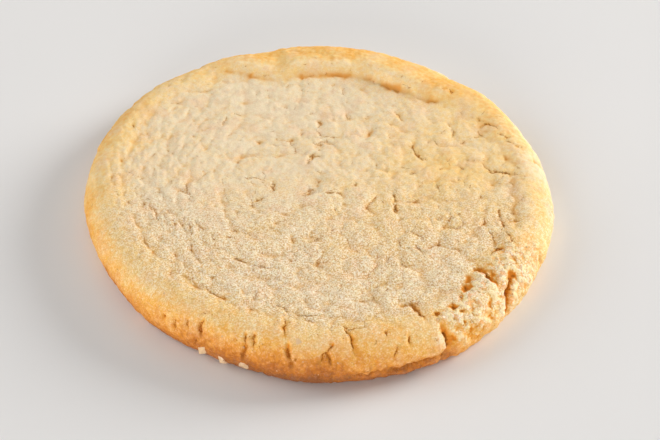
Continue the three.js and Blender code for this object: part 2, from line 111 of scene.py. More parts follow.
def noise(skin: Skin, size: float, seed: int) -> Floats:
    """Smooth noise from -1 to 1 over the skin.

    Args:
        skin: The skin points.
        size: The distance from one bump to the next.
        seed: Which noise this is.  Each lies turned another way, so that none line up.

    Returns:
        One number for each point.
    """
    turned = skin * np.exp(1j * seed) / size
    x, y = turned.real, turned.imag
    i, j = np.floor(x), np.floor(y)
    across, up = smoothstep(x - i, 0, 1), smoothstep(y - j, 0, 1)
    low = lerp(chance(i, j, seed), chance(i + 1, j, seed), across)
    high = lerp(chance(i, j + 1, seed), chance(i + 1, j + 1, seed), across)
    return 2 * lerp(low, high, up) - 1


def patchy(skin: Skin, size: float, low: float, high: float, seed: int) -> Floats:
    """Soft patches of a size, from 0 to 1 where smooth noise rises from low to high."""
    return smoothstep(noise(skin, size, seed), low, high)


def strayed(skin: Skin, reach: float, size: float, seed: int) -> Skin:
    """Skin points moved about by noise, so that what is drawn through them runs crooked."""
    return skin + reach * (noise(skin, size, seed) + 1j * noise(skin, size, seed + 1))


def crumbled(skin: Skin, reach: float, size: float, seed: int) -> Skin:
    """Skin points moved crumb by crumb, so that what is drawn through them runs in steps."""
    cells = Cells.near(skin / size, CRUMB_WANDER, seed, 1)
    step = cells.chance(seed + 3) * np.exp(2j * np.pi * cells.chance(seed + 2))
    return skin + reach * step[0]


def skin_point(distance: Floats, angle: Floats) -> Skin:
    """The skin point at a distance from the middle and an angle."""
    return distance * np.exp(1j * np.radians(angle))


def turned(skin: Skin, angle: float) -> Skin:
    """Skin points turned about the middle, so that a direction comes to lie along +X."""
    return skin * np.exp(-1j * math.radians(angle))


def bearing(skin: Skin) -> Floats:
    """The direction of each skin point."""
    return np.degrees(np.angle(skin))


def towards(skin: Skin, angle: float, width: float) -> Floats:
    """How nearly each skin point lies in a direction, from 0 to 1."""
    return bell(bearing(turned(skin, angle)), width)


def closest(seams: list[Floats]) -> Floats:
    """The seam that is nearest to each point, of several."""
    seams = np.array(seams)
    return np.take_along_axis(seams, abs(seams).argmin(axis=0)[None], axis=0)[0]


@dataclass(frozen=True)
class Cells:
    """Uneven cells that fill the skin: for each skin point, the nearest cell and those next."""

    i: Floats
    j: Floats
    middle: Skin
    distance: Floats

    @classmethod
    def near(cls, at: Skin, wander: float, seed: int, count: int) -> "Cells":
        """Finds the cells nearest to each skin point.

        Args:
            at: The skin points, in cells.
            wander: How far a cell's middle may lie from its place on a square comb.
            seed: Which comb of cells this is.
            count: How many cells to find for each point.

        Returns:
            The cells, nearest first, with one row for each.
        """
        reach = 1 if count == 1 else 2
        steps = np.arange(-reach, reach + 1)
        i = np.floor(at.real) + np.repeat(steps, len(steps))[:, None]
        j = np.floor(at.imag) + np.tile(steps, len(steps))[:, None]
        middle = i + 0.5 + wander * (chance(i, j, seed) - 0.5)
        middle = middle + 1j * (j + 0.5 + wander * (chance(i, j, seed + 1) - 0.5))
        order = np.argsort(abs(middle - at), axis=0)[:count]
        i, j, middle = (np.take_along_axis(grid, order, axis=0) for grid in (i, j, middle))
        return cls(i, j, middle, abs(middle - at))

    def chance(self, seed: float) -> Floats:
        """A repeatable number from 0 to 1 for each cell."""
        return chance(self.i, self.j, seed)


def linear(colour: Hex) -> tuple[float, float, float, float]:
    """Turns an sRGB hex colour into linear light, with an alpha of 1."""
    parts = [int(colour[i : i + 2], 16) / 255 for i in (1, 3, 5)]
    light = [p / 12.92 if p <= 0.04045 else ((p + 0.055) / 1.055) ** 2.4 for p in parts]
    return (*light, 1.0)


def add_node(tree: Tree, kind: str, inputs: dict | None = None, **settings: object) -> bpy.types.Node:
    """Adds a node with its settings and links.

    Args:
        tree: The material's node tree.
        kind: The node's type, without its "ShaderNode".
        inputs: A value for each input socket, by name or number; a socket is linked to it.
        settings: The node's own settings.

    Returns:
        The new node.
    """
    node = tree.nodes.new("ShaderNode" + kind)
    for name, value in settings.items():
        setattr(node, name, value)
    for name, value in (inputs or {}).items():
        if isinstance(value, bpy.types.NodeSocket):
            tree.links.new(value, node.inputs[name])
        else:
            node.inputs[name].default_value = value
    return node


def new_material(name: str) -> bpy.types.Material:
    """An empty node material."""
    material = bpy.data.materials.new(name)
    material.use_nodes = True
    material.node_tree.nodes.clear()
    return material


def surfaced(material: bpy.types.Material, inputs: dict) -> bpy.types.Material:
    """Gives a material its one shader, and returns the material."""
    shader = add_node(material.node_tree, "BsdfPrincipled", inputs)
    add_node(material.node_tree, "OutputMaterial", {"Surface": shader.outputs["BSDF"]})
    return material


def add_object(name: str, data: bpy.types.ID) -> bpy.types.Object:
    """Makes an object and links it to the scene."""
    made = bpy.data.objects.new(name, data)
    bpy.context.scene.collection.objects.link(made)
    return made


def mesh_piece(name: str, places: Floats, faces: Floats) -> bpy.types.Object:
    """Makes an object of a mesh.

    Args:
        name: The piece's name.
        places: The corners, in millimetres.
        faces: The corner numbers of each triangle.

    Returns:
        The object, linked to the scene.
    """
    mesh = bpy.data.meshes.new(name)
    mesh.from_pydata(places * METRES, [], faces)
    mesh.update()
    return add_object(name, mesh)


# ---- The plain form ---------------------------------------------------------
@dataclass
class PlainForm:
    """The cookie without its relief: a flat round top that rolls over to a tucked foot."""

    radius: float = 45.0
    plateau_height: float = 8.8
    bulge_height: float = 3.3
    shoulder_radius: float = 37.5
    base_tuck: float = 1.8
    arc_steps: int = 64
    # Lobes round the outline, their size, and the angle of one lobe.
    outline_waves: tuple[tuple[int, float, float], ...] = (
        (2, 1.0, -48),
        (3, 0.36, 50),
        (4, 0.17, -8),
        (5, 0.16, 7),
        (8, 0.1, 0),
        (9, 0.11, -14),
        (17, 0.07, 11),
    )
    fold_angle: float = 99.5
    fold_step: float = 4.5
    fold_drop: float = 0.8
    fold_end: float = 114.0
    fold_dent: float = 0.6  # how far the outline dips where the rim has dropped, as a share

    def __post_init__(self) -> None:
        """Measures the two quarter ellipses of the side."""
        drop = self.plateau_height - self.bulge_height
        self.turns = np.linspace(0, math.pi / 2, self.arc_steps + 1)
        self.upper = self._walked(self.radius - self.shoulder_radius, drop)
        self.lower = self._walked(self.bulge_height, self.base_tuck)
        self.bulge_at = self.shoulder_radius + self.upper[-1]
        self.skin_radius = self.bulge_at + self.lower[-1]

    def _walked(self, wide: float, high: float) -> Floats:
        """The length walked along a quarter ellipse, at even steps of its turn."""
        run = wide * np.diff(np.sin(self.turns))
        fall = high * np.diff(np.cos(self.turns))
        return np.concatenate([[0], np.cumsum(np.hypot(run, fall))])

    def fold(self, angle: Floats) -> Floats:
        """How far the rim has dropped beside the fold, in each direction."""
        past = angle - self.fold_angle
        recovered = smoothstep(past, self.fold_step, self.fold_end - self.fold_angle)
        return self.fold_drop * smoothstep(past, 0, self.fold_step) * (1 - recovered)

    def outline(self, angle: Floats) -> Floats:
        """The cookie's widest radius in each direction."""
        widest = self.radius - self.fold_dent * self.fold(angle)
        for lobes, size, at in self.outline_waves:
            widest = widest + size * np.cos(lobes * np.radians(angle - at))
        return widest

    def wrap(self, skin: Skin) -> tuple[Floats, Floats]:
        """Lays skin points over the plain form.

        Args:
            skin: The skin points.

        Returns:
            Their places, and the way that the crust faces at each, as rows of x, y and z.
        """
        walked, round_ = abs(skin), np.exp(1j * np.angle(skin))
        widest = self.outline(bearing(skin))
        shoulder = self.shoulder_radius * widest / self.radius
        roll, drop = widest - shoulder, self.plateau_height - self.bulge_height
        high = np.interp(walked - self.shoulder_radius, self.upper, self.turns)
        low = np.interp(walked - self.bulge_at, self.lower, self.turns)
        parts = [walked > self.bulge_at, walked > self.shoulder_radius]
        reach = np.select(
            parts,
            [widest - self.base_tuck * (1 - np.cos(low)), shoulder + roll * np.sin(high)],
            walked * widest / self.radius,
        )
        height = np.select(
            parts,
            [self.bulge_height * (1 - np.sin(low)), self.bulge_height + drop * np.cos(high)],
            self.plateau_height,
        )
        out = np.select(parts, [self.bulge_height * np.cos(low), drop * np.sin(high)], 0.0)
        up = np.select(parts, [-self.base_tuck * np.sin(low), roll * np.cos(high)], 1.0)
        length = np.hypot(out, up)
        place = np.stack([reach * round_.real, reach * round_.imag, height], axis=1)
        facing = np.stack([out * round_.real, out * round_.imag, up], axis=1)
        return place, facing / length[:, None]


# ---- The rim ----------------------------------------------------------------
@dataclass
class Rim:
    """The rolled rim: it swells behind a crease, and more so along the back."""

    form: PlainForm
    back_from: float = 44.0
    back_to: float = 114.0
    back_fade: float = 9.0
    crease_radius: Ends = (37.4, 32.2)  # the rest, and the back
    crease_depth: Ends = (0.12, 0.24)
    crease_width: Ends = (0.9, 1.8)
    crease_stray: float = 0.9
    crease_stray_size: float = 5.0
    swell: Ends = (0.7, 1.5)
    rise: Ends = (4.2, 2.6)
    rise_start: float = -0.3  # where the rise begins, as a share of its length
    fall: float = 9.0
    broken: Patches = (6.0, -0.6, 0.2)  # where the crease deepens
    broken_least: float = 0.3
    lumps: tuple[Ends, ...] = ((0.3, 6.5), (0.16, 3.2))  # along the back
    hair_pitch: float = 1.1  # from one hairline down the rim to the next
    hair_length: float = 3.4
    hair_depth: float = 0.12
    hair_width: float = 0.42
    hair_share: float = 0.55
    hair_stray: Ends = (0.5, 1.6)  # reach and size
    hair_from: Ends = (0.0, 4.0)  # past the crease
    hair_side: Ends = (-12.0, 50.0)  # the direction that has the most of them, and their spread

    def backness(self, skin: Skin) -> Floats:
        """How much a direction belongs to the back of the rim, from 0 to 1."""
        angle, fade = bearing(skin), self.back_fade
        begun = smoothstep(angle, self.back_from - fade, self.back_from + fade)
        ended = smoothstep(angle, self.back_to - fade, self.back_to + fade)
        return begun * (1 - ended)

    def past_crease(self, skin: Skin) -> Floats:
        """How far each skin point lies outside the crease."""
        crease = lerp(*self.crease_radius, self.backness(skin))
        return abs(skin) - crease - self.crease_stray * noise(skin, self.crease_stray_size, 5)

    def relief(self, skin: Skin) -> Floats:
        """The height that the swollen rim and its crease add."""
        back, past = self.backness(skin), self.past_crease(skin)
        reach = lerp(*self.rise, back)
        rise = smoothstep(past, self.rise_start * reach, reach)
        fall = 1 - smoothstep(past, reach, reach + self.fall)
        swell = lerp(*self.swell, back) - self.form.fold(bearing(skin))
        broken = patchy(skin, *self.broken, 8)
        depth = lerp(*self.crease_depth, back) * lerp(self.broken_least, 1, broken)
        lumps = sum(high * noise(skin, size, 6 + i) for i, (high, size) in enumerate(self.lumps))
        rolled = (swell + back * lumps) * rise * fall
        return rolled - depth * bell(past, lerp(*self.crease_width, back))

    def hairlines(self, skin: Skin) -> Floats:
        """Fine short cracks that run down over the rim at one side, as depths."""
        crooked = strayed(skin, *self.hair_stray, 91)
        around = np.angle(crooked) * self.form.radius / self.hair_pitch
        column = np.floor(around)
        down = abs(crooked) / self.hair_length + chance(column, 0, 92)
        row = np.floor(down)
        shows = chance(column, row, 93) < self.hair_share
        along = np.sin(math.pi * (down - row))
        near = bell((around - column - 0.5) * self.hair_pitch, self.hair_width)
        here = towards(skin, *self.hair_side) * smoothstep(self.past_crease(skin), *self.hair_from)
        return self.hair_depth * shows * along * near * here


# ---- Crazing ----------------------------------------------------------------
@dataclass
class Crazing:
    """Crust set early and torn into plates as the dough under it went on spreading."""

    pitch: float  # from one plate to the next
    lift: float  # how far a plate may stand above or below the rest
    dome: float  # how far a plate's middle stands above its edge, half a pitch away
    depth: float
    width: float
    seam: float  # half the width of a crack's thin dark middle
    seed: int
    strong: Ends = (0.35, 0.85)  # chances between which a crack opens
    wander: float = 0.85
    stray: Ends = (0.9, 2.6)  # reach and size
    fray: Ends = (0.16, 0.7)
    steps: Ends = (0.25, 0.8)
    softness: float = 0.05  # of the blend from plate to plate, where no crack parts them
    nearest: int = 8
    shut_width: float = 0.6  # how wide a shut crack is, beside an open one
    shoulder: float = 0.35  # the share of a crack's depth that its wide shoulders have
    shoulder_width: float = 3.0  # how much wider they are
    least: float = 0.25  # how far a crack is open between the patches where it opens
    patch: Ends = (-0.4, 0.3)  # the noise that those show in
    gape: Ends = (0.35, 1.9)  # how wide a crack is between the places where it gapes, and there
    gaping: Patches = (1.3, -0.1, 0.8)

    def relief(self, skin: Skin) -> tuple[Floats, Floats]:
        """Works out the plates and the cracks between them.

        Args:
            skin: The skin points.

        Returns:
            The height of the plates with their cracks, and the seam.
        """
        at = strayed(skin, *self.stray, 10 + self.seed)
        at = crumbled(strayed(at, *self.fray, 40 + self.seed), *self.steps, 50 + self.seed)
        at = at / self.pitch
        cells = Cells.near(at, self.wander, self.seed, self.nearest)
        to_next = cells.middle[1:] - cells.middle[0]
        halfway = (cells.middle[1:] + cells.middle[0]) / 2 - at
        gap = self.pitch * (halfway * (to_next / abs(to_next)).conj()).real
        pair = (cells.i[1:] + cells.i[0], cells.j[1:] + cells.j[0], self.seed + 2)
        opened = smoothstep(chance(*pair), *self.strong)
        opened = opened * lerp(self.least, 1, patchy(skin, self.pitch, *self.patch, self.seed + 5))
        gape = lerp(*self.gape, patchy(skin, *self.gaping, self.seed + 7))
        narrow = bell(gap, self.width * lerp(self.shut_width, 1, opened))
        crack = gape * lerp(narrow, bell(gap, self.shoulder_width * self.width), self.shoulder)
        # Both plates beside a crack have to agree on which of its two sides is which.
        side = np.sign(to_next.real + to_next.imag / math.e)
        seam = side * np.clip(gap / np.maximum(self.seam * opened * gape, NEARLY_NONE), 0, SEAM_LIMIT)
        weights = np.exp((cells.distance[0] - cells.distance) / self.softness)
        lifted = 2 * cells.chance(self.seed + 3) - 1
        lifted = (lifted * weights).sum(axis=0) / weights.sum(axis=0)
        plates = self.lift * lifted - self.dome * (2 * cells.distance[0]) ** 2
        return plates - self.depth * (opened * crack).max(axis=0), closest(list(seam))


@dataclass
class Chips:
    """Small chips out of the crust, each steep along one side and shallow along the other."""

    pitch: float = 4.4
    share: float = 0.5  # of the places that have one
    long: float = 1.3
    wide: float = 0.8
    steep: float = 0.35  # the steep side's width, as a share
    depth: float = 0.22
    least: float = 0.3  # the smallest chip, as a share of the largest
    fray: Ends = (0.28, 0.6)
    steps: Ends = (0.4, 0.7)
    wander: float = 0.9
    edge: float = 1.6  # how wide the bell is that a chip's depth follows, in its own sizes
    seed: int = 161

    def depths(self, skin: Skin) -> Floats:
        """How deep the chips are at each skin point."""
        at = crumbled(strayed(skin, *self.fray, self.seed), *self.steps, self.seed) / self.pitch
        cells = Cells.near(at, self.wander, self.seed + 2, 2)
        turn = np.exp(2j * math.pi * cells.chance(self.seed + 4))
        away = (at - cells.middle) * self.pitch * turn
        size = lerp(self.least, 1, cells.chance(self.seed + 5))
        wide = self.wide * np.where(away.imag > 0, self.steep, 1)
        reach = np.hypot(away.real / self.long, away.imag / wide) / size
        shows = cells.chance(self.seed + 6) < self.share
        return self.depth * (shows * size * bell(reach, self.edge)).max(axis=0)


@dataclass
class Pores:
    """Small open pores, where the crust never closed over the crumb."""

    size: float
    depth: float
    seed: int
    low: float = 0.5  # of the noise that they open in
    high: float = 0.95
    steps: Ends = (0.3, 0.7)
    fine: float = 0.5  # the size and the share of the smaller pores, beside the larger

    def depths(self, skin: Skin) -> Floats:
        """How deep the pores are at each skin point."""
        at = crumbled(skin, *self.steps, self.seed)
        lie = noise(at, self.size, self.seed)
        lie = lie + self.fine * noise(at, self.fine * self.size, self.seed + 1)
        return self.depth * smoothstep(lie, self.low, self.high)


# ---- Splits -----------------------------------------------------------------
TAPER = (0.12, 0.88)  # the part of a half wave that a split's depth follows along it
CORE = (0.4, 0.5)  # the share and the width of a split's steeper middle
SHELF_DEPTH = 0.75  # how deep a split's shallow side is, as a share
SEAMED = (0.05, 0.95)  # the part of its length that has a dark middle


@dataclass(frozen=True)
class Split:
    """One split, pit or ridge in the crust, through points of a distance and an angle."""

    width: float
    depth: float  # below 0 for a ridge
    through: tuple[Ends, ...]
    shelf: float = 0.0  # how wide its shallow side is, to the left of the way it runs
    seam: float = 0.16  # half the width of its thin dark middle

    def cut(self, skin: Skin, opened: Floats | float = 1.0) -> tuple[Floats, Floats]:
        """Cuts the split into the crust, tapered to both ends.

        Args:
            skin: The skin points.
            opened: How far a split is open at each, from 0 to 1.

        Returns:
            The depth of the split, and its seam.
        """
        ends = [complex(skin_point(*point)) for point in self.through]
        lengths = [abs(b - a) for a, b in zip(ends, ends[1:])]
        away = np.full(len(skin), np.inf)
        along = np.zeros(len(skin))
        walked = 0.0
        for start, end, length in zip(ends, ends[1:], lengths):
            across = (skin - start) * (end - start).conjugate() / length
            share = np.clip(across.real / length, 0, 1)
            distance = abs(skin - start - share * (end - start)) * np.where(across.imag < 0, -1, 1)
            closer = abs(distance) < abs(away)
            away = np.where(closer, distance, away)
            along = np.where(closer, (walked + share * length) / sum(lengths), along)
            walked += length
        taper = opened * np.sqrt(np.sin(math.pi * lerp(*TAPER, along)))
        share, width = CORE
        profile = (1 - share) * bell(away, self.width) + share * bell(away, width * self.width)
        if self.shelf:
            shallow = bell(away, 2 * self.shelf)
            profile = np.where(away > 0, np.maximum(profile, SHELF_DEPTH * shallow), profile)
        half = self.seam * taper * (SEAMED[0] < along) * (along < SEAMED[1])
        seam = np.clip(away / np.maximum(half, NEARLY_NONE), -SEAM_LIMIT, SEAM_LIMIT)
        return self.depth * taper * profile, seam


BROKEN_SPLITS = (
    # the upper hollow, with a sharp edge towards the middle and a golden slope outside
    Split(0.8, 1.25, ((36.8, -38.7), (38.5, -39.3), (40.9, -40.2)), shelf=2.0, seam=0.28),
    # the deep orange trench beside it
    Split(1.3, 1.5, ((42.4, -34.2), (43.6, -36.2), (44.6, -38.4), (46.2, -39.4), (48.4, -41)), seam=0.3),
    Split(0.7, 0.75, ((38.6, -27.9), (37.6, -29.8), (37.2, -32.2))),
    Split(0.9, 0.65, ((38.6, -46), (39, -47.8))),
    Split(1, 0.85, ((40.2, -53), (40.8, -54.8))),
    Split(0.9, 0.75, ((40.2, -57.6), (40.4, -59.6))),
    Split(1.2, 0.4, ((41.6, -53.2), (42, -51.8)), seam=0.1),
    Split(1.1, 0.4, ((39.5, -49.9), (39.4, -51)), seam=0.1),
    # the notch, with a pale flap on its left and the torn orange face on its right
    Split(0.9, 1.5, ((43.2, -59.8), (44.8, -59.4), (46.4, -59.5), (49.6, -60.8)), shelf=1.4, seam=0.34),
    Split(3.4, 0.38, ((43.6, -56.4), (45.6, -53.6), (47.6, -51)), seam=0.0),
    Split(0.8, 0.75, ((35.6, -66.6), (36.4, -63), (38.2, -62.2), (40.4, -62.4)), shelf=0.7, seam=0.24),
    # the torn lip along the foot
    Split(0.9, 0.85, ((48.2, -74), (48.2, -67), (47.8, -64.6), (48.4, -61)), seam=0.24),
    Split(0.8, 0.56, ((48.6, -84), (48.4, -79), (48, -74))),
)

BROKEN_RIDGES = (
    # the pale crest, the flake between the two hollows, and the flap beside the notch
    Split(2, -0.39, ((41.2, -59), (41.8, -55.4), (42.4, -52.4), (43.8, -51), (46, -48))),
    Split(3.2, -0.24, ((42.2, -43.4), (44.2, -42.2), (46.4, -42.4))),
    Split(1.6, -0.24, ((43.6, -61.4), (46, -61.6))),
    # the thin lip that stands out along the foot
    Split(1.3, -0.35, ((49.4, -74), (49.6, -68), (49, -64.6), (49.4, -60))),
)

FRONT_SPLITS = (
    Split(1.0, 0.6, ((37, -99), (39.4, -98.6), (41, -98.2)), seam=0.1),
    Split(0.58, 1.1, ((42.6, -97.2), (43.8, -96.6), (46.2, -95.8)), seam=0.24),
    Split(0.58, 0.99, ((41.8, -86.6), (43.6, -88), (45.4, -87.4)), seam=0.24),
    Split(0.52, 0.55, ((43.6, -88), (44.6, -89.6))),
    Split(0.6, 0.85, ((38.4, -83.2), (40.8, -82.1), (43.2, -81.7)), shelf=1.1, seam=0.16),
    Split(0.58, 0.99, ((42, -106.3), (44.3, -105.2)), seam=0.24),
    Split(0.58, 1.2, ((42.4, -107.9), (45, -107.4), (47.6, -107.6)), seam=0.28),
    Split(0.52, 0.99, ((42.8, -120), (45.4, -119.1)), seam=0.24),
    Split(0.52, 0.75, ((46.2, -120.5), (47.8, -120.5))),
    Split(0.45, 0.55, ((44, -123.9), (45.4, -123.2))),
    Split(0.52, 0.65, ((44.7, -127), (46.4, -126.7))),
    Split(0.68, 0.75, ((45.2, -130.8), (45.6, -129.8))),
    Split(0.58, 0.55, ((42.2, -67.9), (43.8, -68.4))),
    Split(0.58, 0.55, ((40.2, -72.9), (41.6, -73.4))),
    Split(0.52, 0.55, ((43.8, -71.9), (45.6, -72.8))),
    # wrinkles along the front of the rim
    Split(0.52, 0.35, ((36.7, -133.2), (36.1, -130.8)), seam=0.08),
    Split(0.52, 0.4, ((36.4, -127.4), (37, -122.8), (36.4, -117.8)), seam=0.1),
    Split(0.52, 0.3, ((34.2, -103.6), (35.2, -98.4)), seam=0.08),
    Split(0.58, 0.4, ((35.6, -96.6), (35.5, -92.6), (35.2, -88.4)), seam=0.1),
    Split(0.58, 0.35, ((37.8, -85), (39.1, -81.4), (39.3, -77.6)), seam=0.08),
)

TOP_SPLITS = (
    Split(0.72, 0.56, ((9.9, 89), (7.7, 100.3), (5.6, 114)), seam=0.24),
    Split(0.63, 0.42, ((3, -137), (2.7, -95), (4, -60), (5.6, -40))),
    Split(0.63, 0.49, ((8.5, 179), (9.2, -167), (10.4, -154.8)), seam=0.24),
    Split(0.63, 0.49, ((10.4, -154.8), (13.6, -156.8))),
    Split(0.63, 0.28, ((15.7, 168), (14.8, 175.7), (10.9, 175.3))),
    Split(0.63, 0.35, ((24.4, 177.2), (25.5, -175.5), (24.9, -168.8))),
    Split(0.63, 0.35, ((33.2, -168), (32.8, -159.6))),
    Split(0.63, 0.35, ((29.4, -163), (30.1, -157.3), (30.8, -151.6))),
    Split(0.63, 0.35, ((27.3, -156), (29.1, -147.8))),
    Split(0.63, 0.35, ((25.4, -144.4), (26.2, -139))),
    Split(0.63, 0.28, ((23.3, -138.8), (22.8, -130.8))),
    Split(0.72, 0.35, ((26.3, 133.6), (23.6, 142))),
    Split(0.72, 0.28, ((32.3, 162), (33, 173.6))),
    Split(0.63, 0.28, ((12.9, 104.8), (12.8, 86.5), (13.3, 73.6))),
    Split(0.72, 0.49, ((21.9, 32), (21.1, 23.4), (22.1, 17)), seam=0.24),
    Split(0.63, 0.42, ((14.2, -10), (15.4, -20.8))),
    Split(0.99, 0.56, ((15.2, -21), (16.8, -30.6)), seam=0.24),
    Split(0.63, 0.35, ((25.3, -2.4), (25.3, -10.4))),
    Split(0.63, 0.35, ((24.2, -44.2), (26.3, -46), (28.3, -47.8))),
    Split(0.63, 0.35, ((26.8, -118), (25.4, -109.6))),
    Split(0.72, 0.42, ((33.2, -20.2), (35, -23.8), (37, -26.8))),
    Split(0.81, 0.56, ((34.2, -11), (37.6, -21.2), (40.2, -25)), seam=0.24),
    Split(0.63, 0.42, ((31.4, 6.1), (33.4, 5.6), (35.2, 4.4))),
    Split(0.72, 0.56, ((35, 4.6), (36.5, 3.5), (37.6, 2.2)), seam=0.24),
    Split(0.81, 0.49, ((37.4, 29.6), (38.8, 24), (39.1, 18)), seam=0.24),
    Split(0.72, 0.49, ((39.1, 17.4), (39.8, 15.7), (41.2, 13.4))),
    Split(0.9, 0.49, ((24.8, 43.6), (26.1, 56.4))),
    Split(1.3, 0.42, ((37.4, 45.2), (37.4, 42.8))),
    Split(1.1, 0.42, ((35, 112.2), (34, 110.4))),
    Split(0.8, 0.3, ((34, 110.4), (33, 107.3))),
    Split(0.6, 0.42, ((37.2, -29), (38, -30.4))),
    # the golden groove along the top of the back rim, from the fold
    Split(1.8, 0.25, ((40.8, 100.5), (38, 96.2), (36.8, 87.7)), seam=0.0),
)


# Small open pits in the crust, at a distance and an angle, and how wide each is.
TOP_PITS = (
    (8.4, -70.1, 1.0), (10.8, -60.3, 0.8), (12.2, 22.7, 1.0), (14.4, 11.2, 0.8),
    (6.9, -7.9, 0.9), (15.7, -24.5, 1.0), (17.5, -38.9, 0.9), (20.9, -76.7, 0.8),
    (23.2, -62.7, 0.8), (26.5, -27.3, 1.0), (35, -13.3, 1.1), (20.9, -161, 0.9),
    (25.9, -149.2, 1.0), (14.5, -125.2, 0.8), (34.6, -110.1, 1.0), (16.4, 135, 1.3),
    (27, 152.4, 0.9), (39.3, 156.4, 1.0), (39.2, 178, 1.0), (33.7, 178.9, 0.9),
    (40.5, 136.9, 0.9), (37.4, 43.9, 1.2), (39.2, 18.5, 1.1), (40.9, 14, 1.1),
    (36.9, 3.3, 1.1), (40.1, -24.3, 1.1), (26.7, -22.9, 1.0),
)


@dataclass
class Splits:
    """The splits of the crust: those that can be told apart, and others down the far side."""

    side_count: int = 22
    side_from: float = 8.0
    side_to: float = 168.0
    side_top: float = 42.5
    side_shift: float = 0.7  # how far one strays from its place round the side
    side_sink: float = 3.0  # and down it
    side_length: float = 4.2
    side_shortest: float = 0.4  # as a share
    side_lean: float = 2.4
    side_width: Ends = (0.6, 1.1)
    side_depth: Ends = (0.3, 0.9)
    crooked: Ends = (0.25, 1.5)
    steps: Ends = (0.42, 0.95)
    side_steps: Ends = (0.21, 0.95)
    fray: Ends = (0.2, 0.45)
    healed: Patches = (1.7, -0.45, 0.05)  # where a split isn't healed over
    least: tuple[float, float, float] = (0.8, 0.5, 0.12)  # left open: corner, side and top
    pit_depth: float = 0.34
    pit_core: float = 0.25  # half a pit's length and half its dark middle, as shares of its width
    back_open: float = 0.65  # how far a crack at the back of the top is open, beside the front's

    def side_split(self, index: int) -> Split:
        """A random split down the side: which one, counted from 0."""
        draw = [float(chance(index, n, 51)) for n in range(6)]
        angle = lerp(self.side_from, self.side_to, (index + self.side_shift * draw[0]) / self.side_count)
        top = self.side_top + self.side_sink * draw[1]
        foot = top + self.side_length * lerp(self.side_shortest, 1, draw[2])
        ends = ((top, angle), (foot, angle + self.side_lean * (draw[3] - 0.5)))
        return Split(lerp(*self.side_width, draw[4]), lerp(*self.side_depth, draw[5]), ends)

    def pit(self, distance: float, angle: float, width: float) -> Split:
        """A pit as a split that is as short as it is wide."""
        half = self.pit_core * width
        ends = ((distance - half, angle), (distance + half, angle))
        return Split(width, self.pit_depth * width, ends, seam=half)

    def cut(self, skin: Skin) -> tuple[Floats, Floats]:
        """The depth of the deepest split at each skin point, and the nearest seam."""
        bent = strayed(skin, *self.crooked, 61)
        at = strayed(crumbled(bent, *self.steps, 65), *self.fray, 63)
        opened = patchy(skin, *self.healed, 68)
        side = (*FRONT_SPLITS, *map(self.side_split, range(self.side_count)))
        torn = strayed(crumbled(bent, *self.side_steps, 65), *self.fray, 63)
        in_corner, in_side, in_top = (lerp(least, 1, opened) for least in self.least)
        in_top = in_top * lerp(1, self.back_open, smoothstep(skin.imag, *BACK_OF_TOP))
        cuts = [split.cut(torn, in_corner) for split in BROKEN_SPLITS]
        cuts += [split.cut(torn, in_side) for split in side]
        cuts += [split.cut(at, in_top) for split in TOP_SPLITS]
        cuts += [self.pit(*spot).cut(at) for spot in TOP_PITS]
        return np.max([depth for depth, _ in cuts], axis=0), closest([seam for _, seam in cuts])


# ---- The broken corner ------------------------------------------------------
@dataclass
class BrokenCorner:
    """The corner where the crust has torn away and the crumb lies open."""

    radius: float = 42.5
    angle: float = -43.0
    deep: float = 6.5
    long: float = 15.5
    ragged: Ends = (0.25, 3.0)  # share and size of the uneven edge
    edge: Ends = (0.6, 1.1)  # the crust gives way between these shares of the reach
    clumps: tuple[Ends, ...] = ((1.9, 0.2), (0.95, 0.22))  # size and height
    clump_stray: Ends = (6.0, 0.63)  # a clump's size over its edge's reach, and the edge's size
    clump_fall: float = 1.3  # how fast a clump falls away to its edge
    loss: float = 0.12
    pores: Pores = field(default_factory=lambda: Pores(1.2, 0.24, 111, low=0.2, high=0.75))
    wander: float = 0.9
    ridge_stray: Ends = (0.5, 1.2)
    ridge_steps: Ends = (0.4, 0.9)

    def share(self, skin: Skin) -> Floats:
        """How far each skin point is inside the corner, from 0 outside to 1."""
        away = turned(skin, self.angle)
        reach = np.hypot((away.real - self.radius) / self.deep, away.imag / self.long)
        return 1 - smoothstep(reach + self.ragged[0] * noise(skin, self.ragged[1], 21), *self.edge)

    def relief(self, skin: Skin) -> Floats:
        """Clumps of torn crumb in two sizes, the crust lost between them, and the ridges."""
        raised = -self.loss
        reach, bend = self.clump_stray
        for seed, (size, height) in enumerate(self.clumps):
            at = strayed(skin, size / reach, size * bend, 31 + 9 * seed) / size
            cells = Cells.near(at, self.wander, 33 + 9 * seed, 1)
            clump = cells.chance(35 + 9 * seed) - self.clump_fall * cells.distance
            raised = raised + height * clump[0]
        raised = raised - self.pores.depths(skin)
        at = crumbled(strayed(skin, *self.ridge_stray, 66), *self.ridge_steps, 67)
        ridges = np.max([-split.cut(at)[0] for split in BROKEN_RIDGES], axis=0)
        return self.share(skin) * raised + ridges


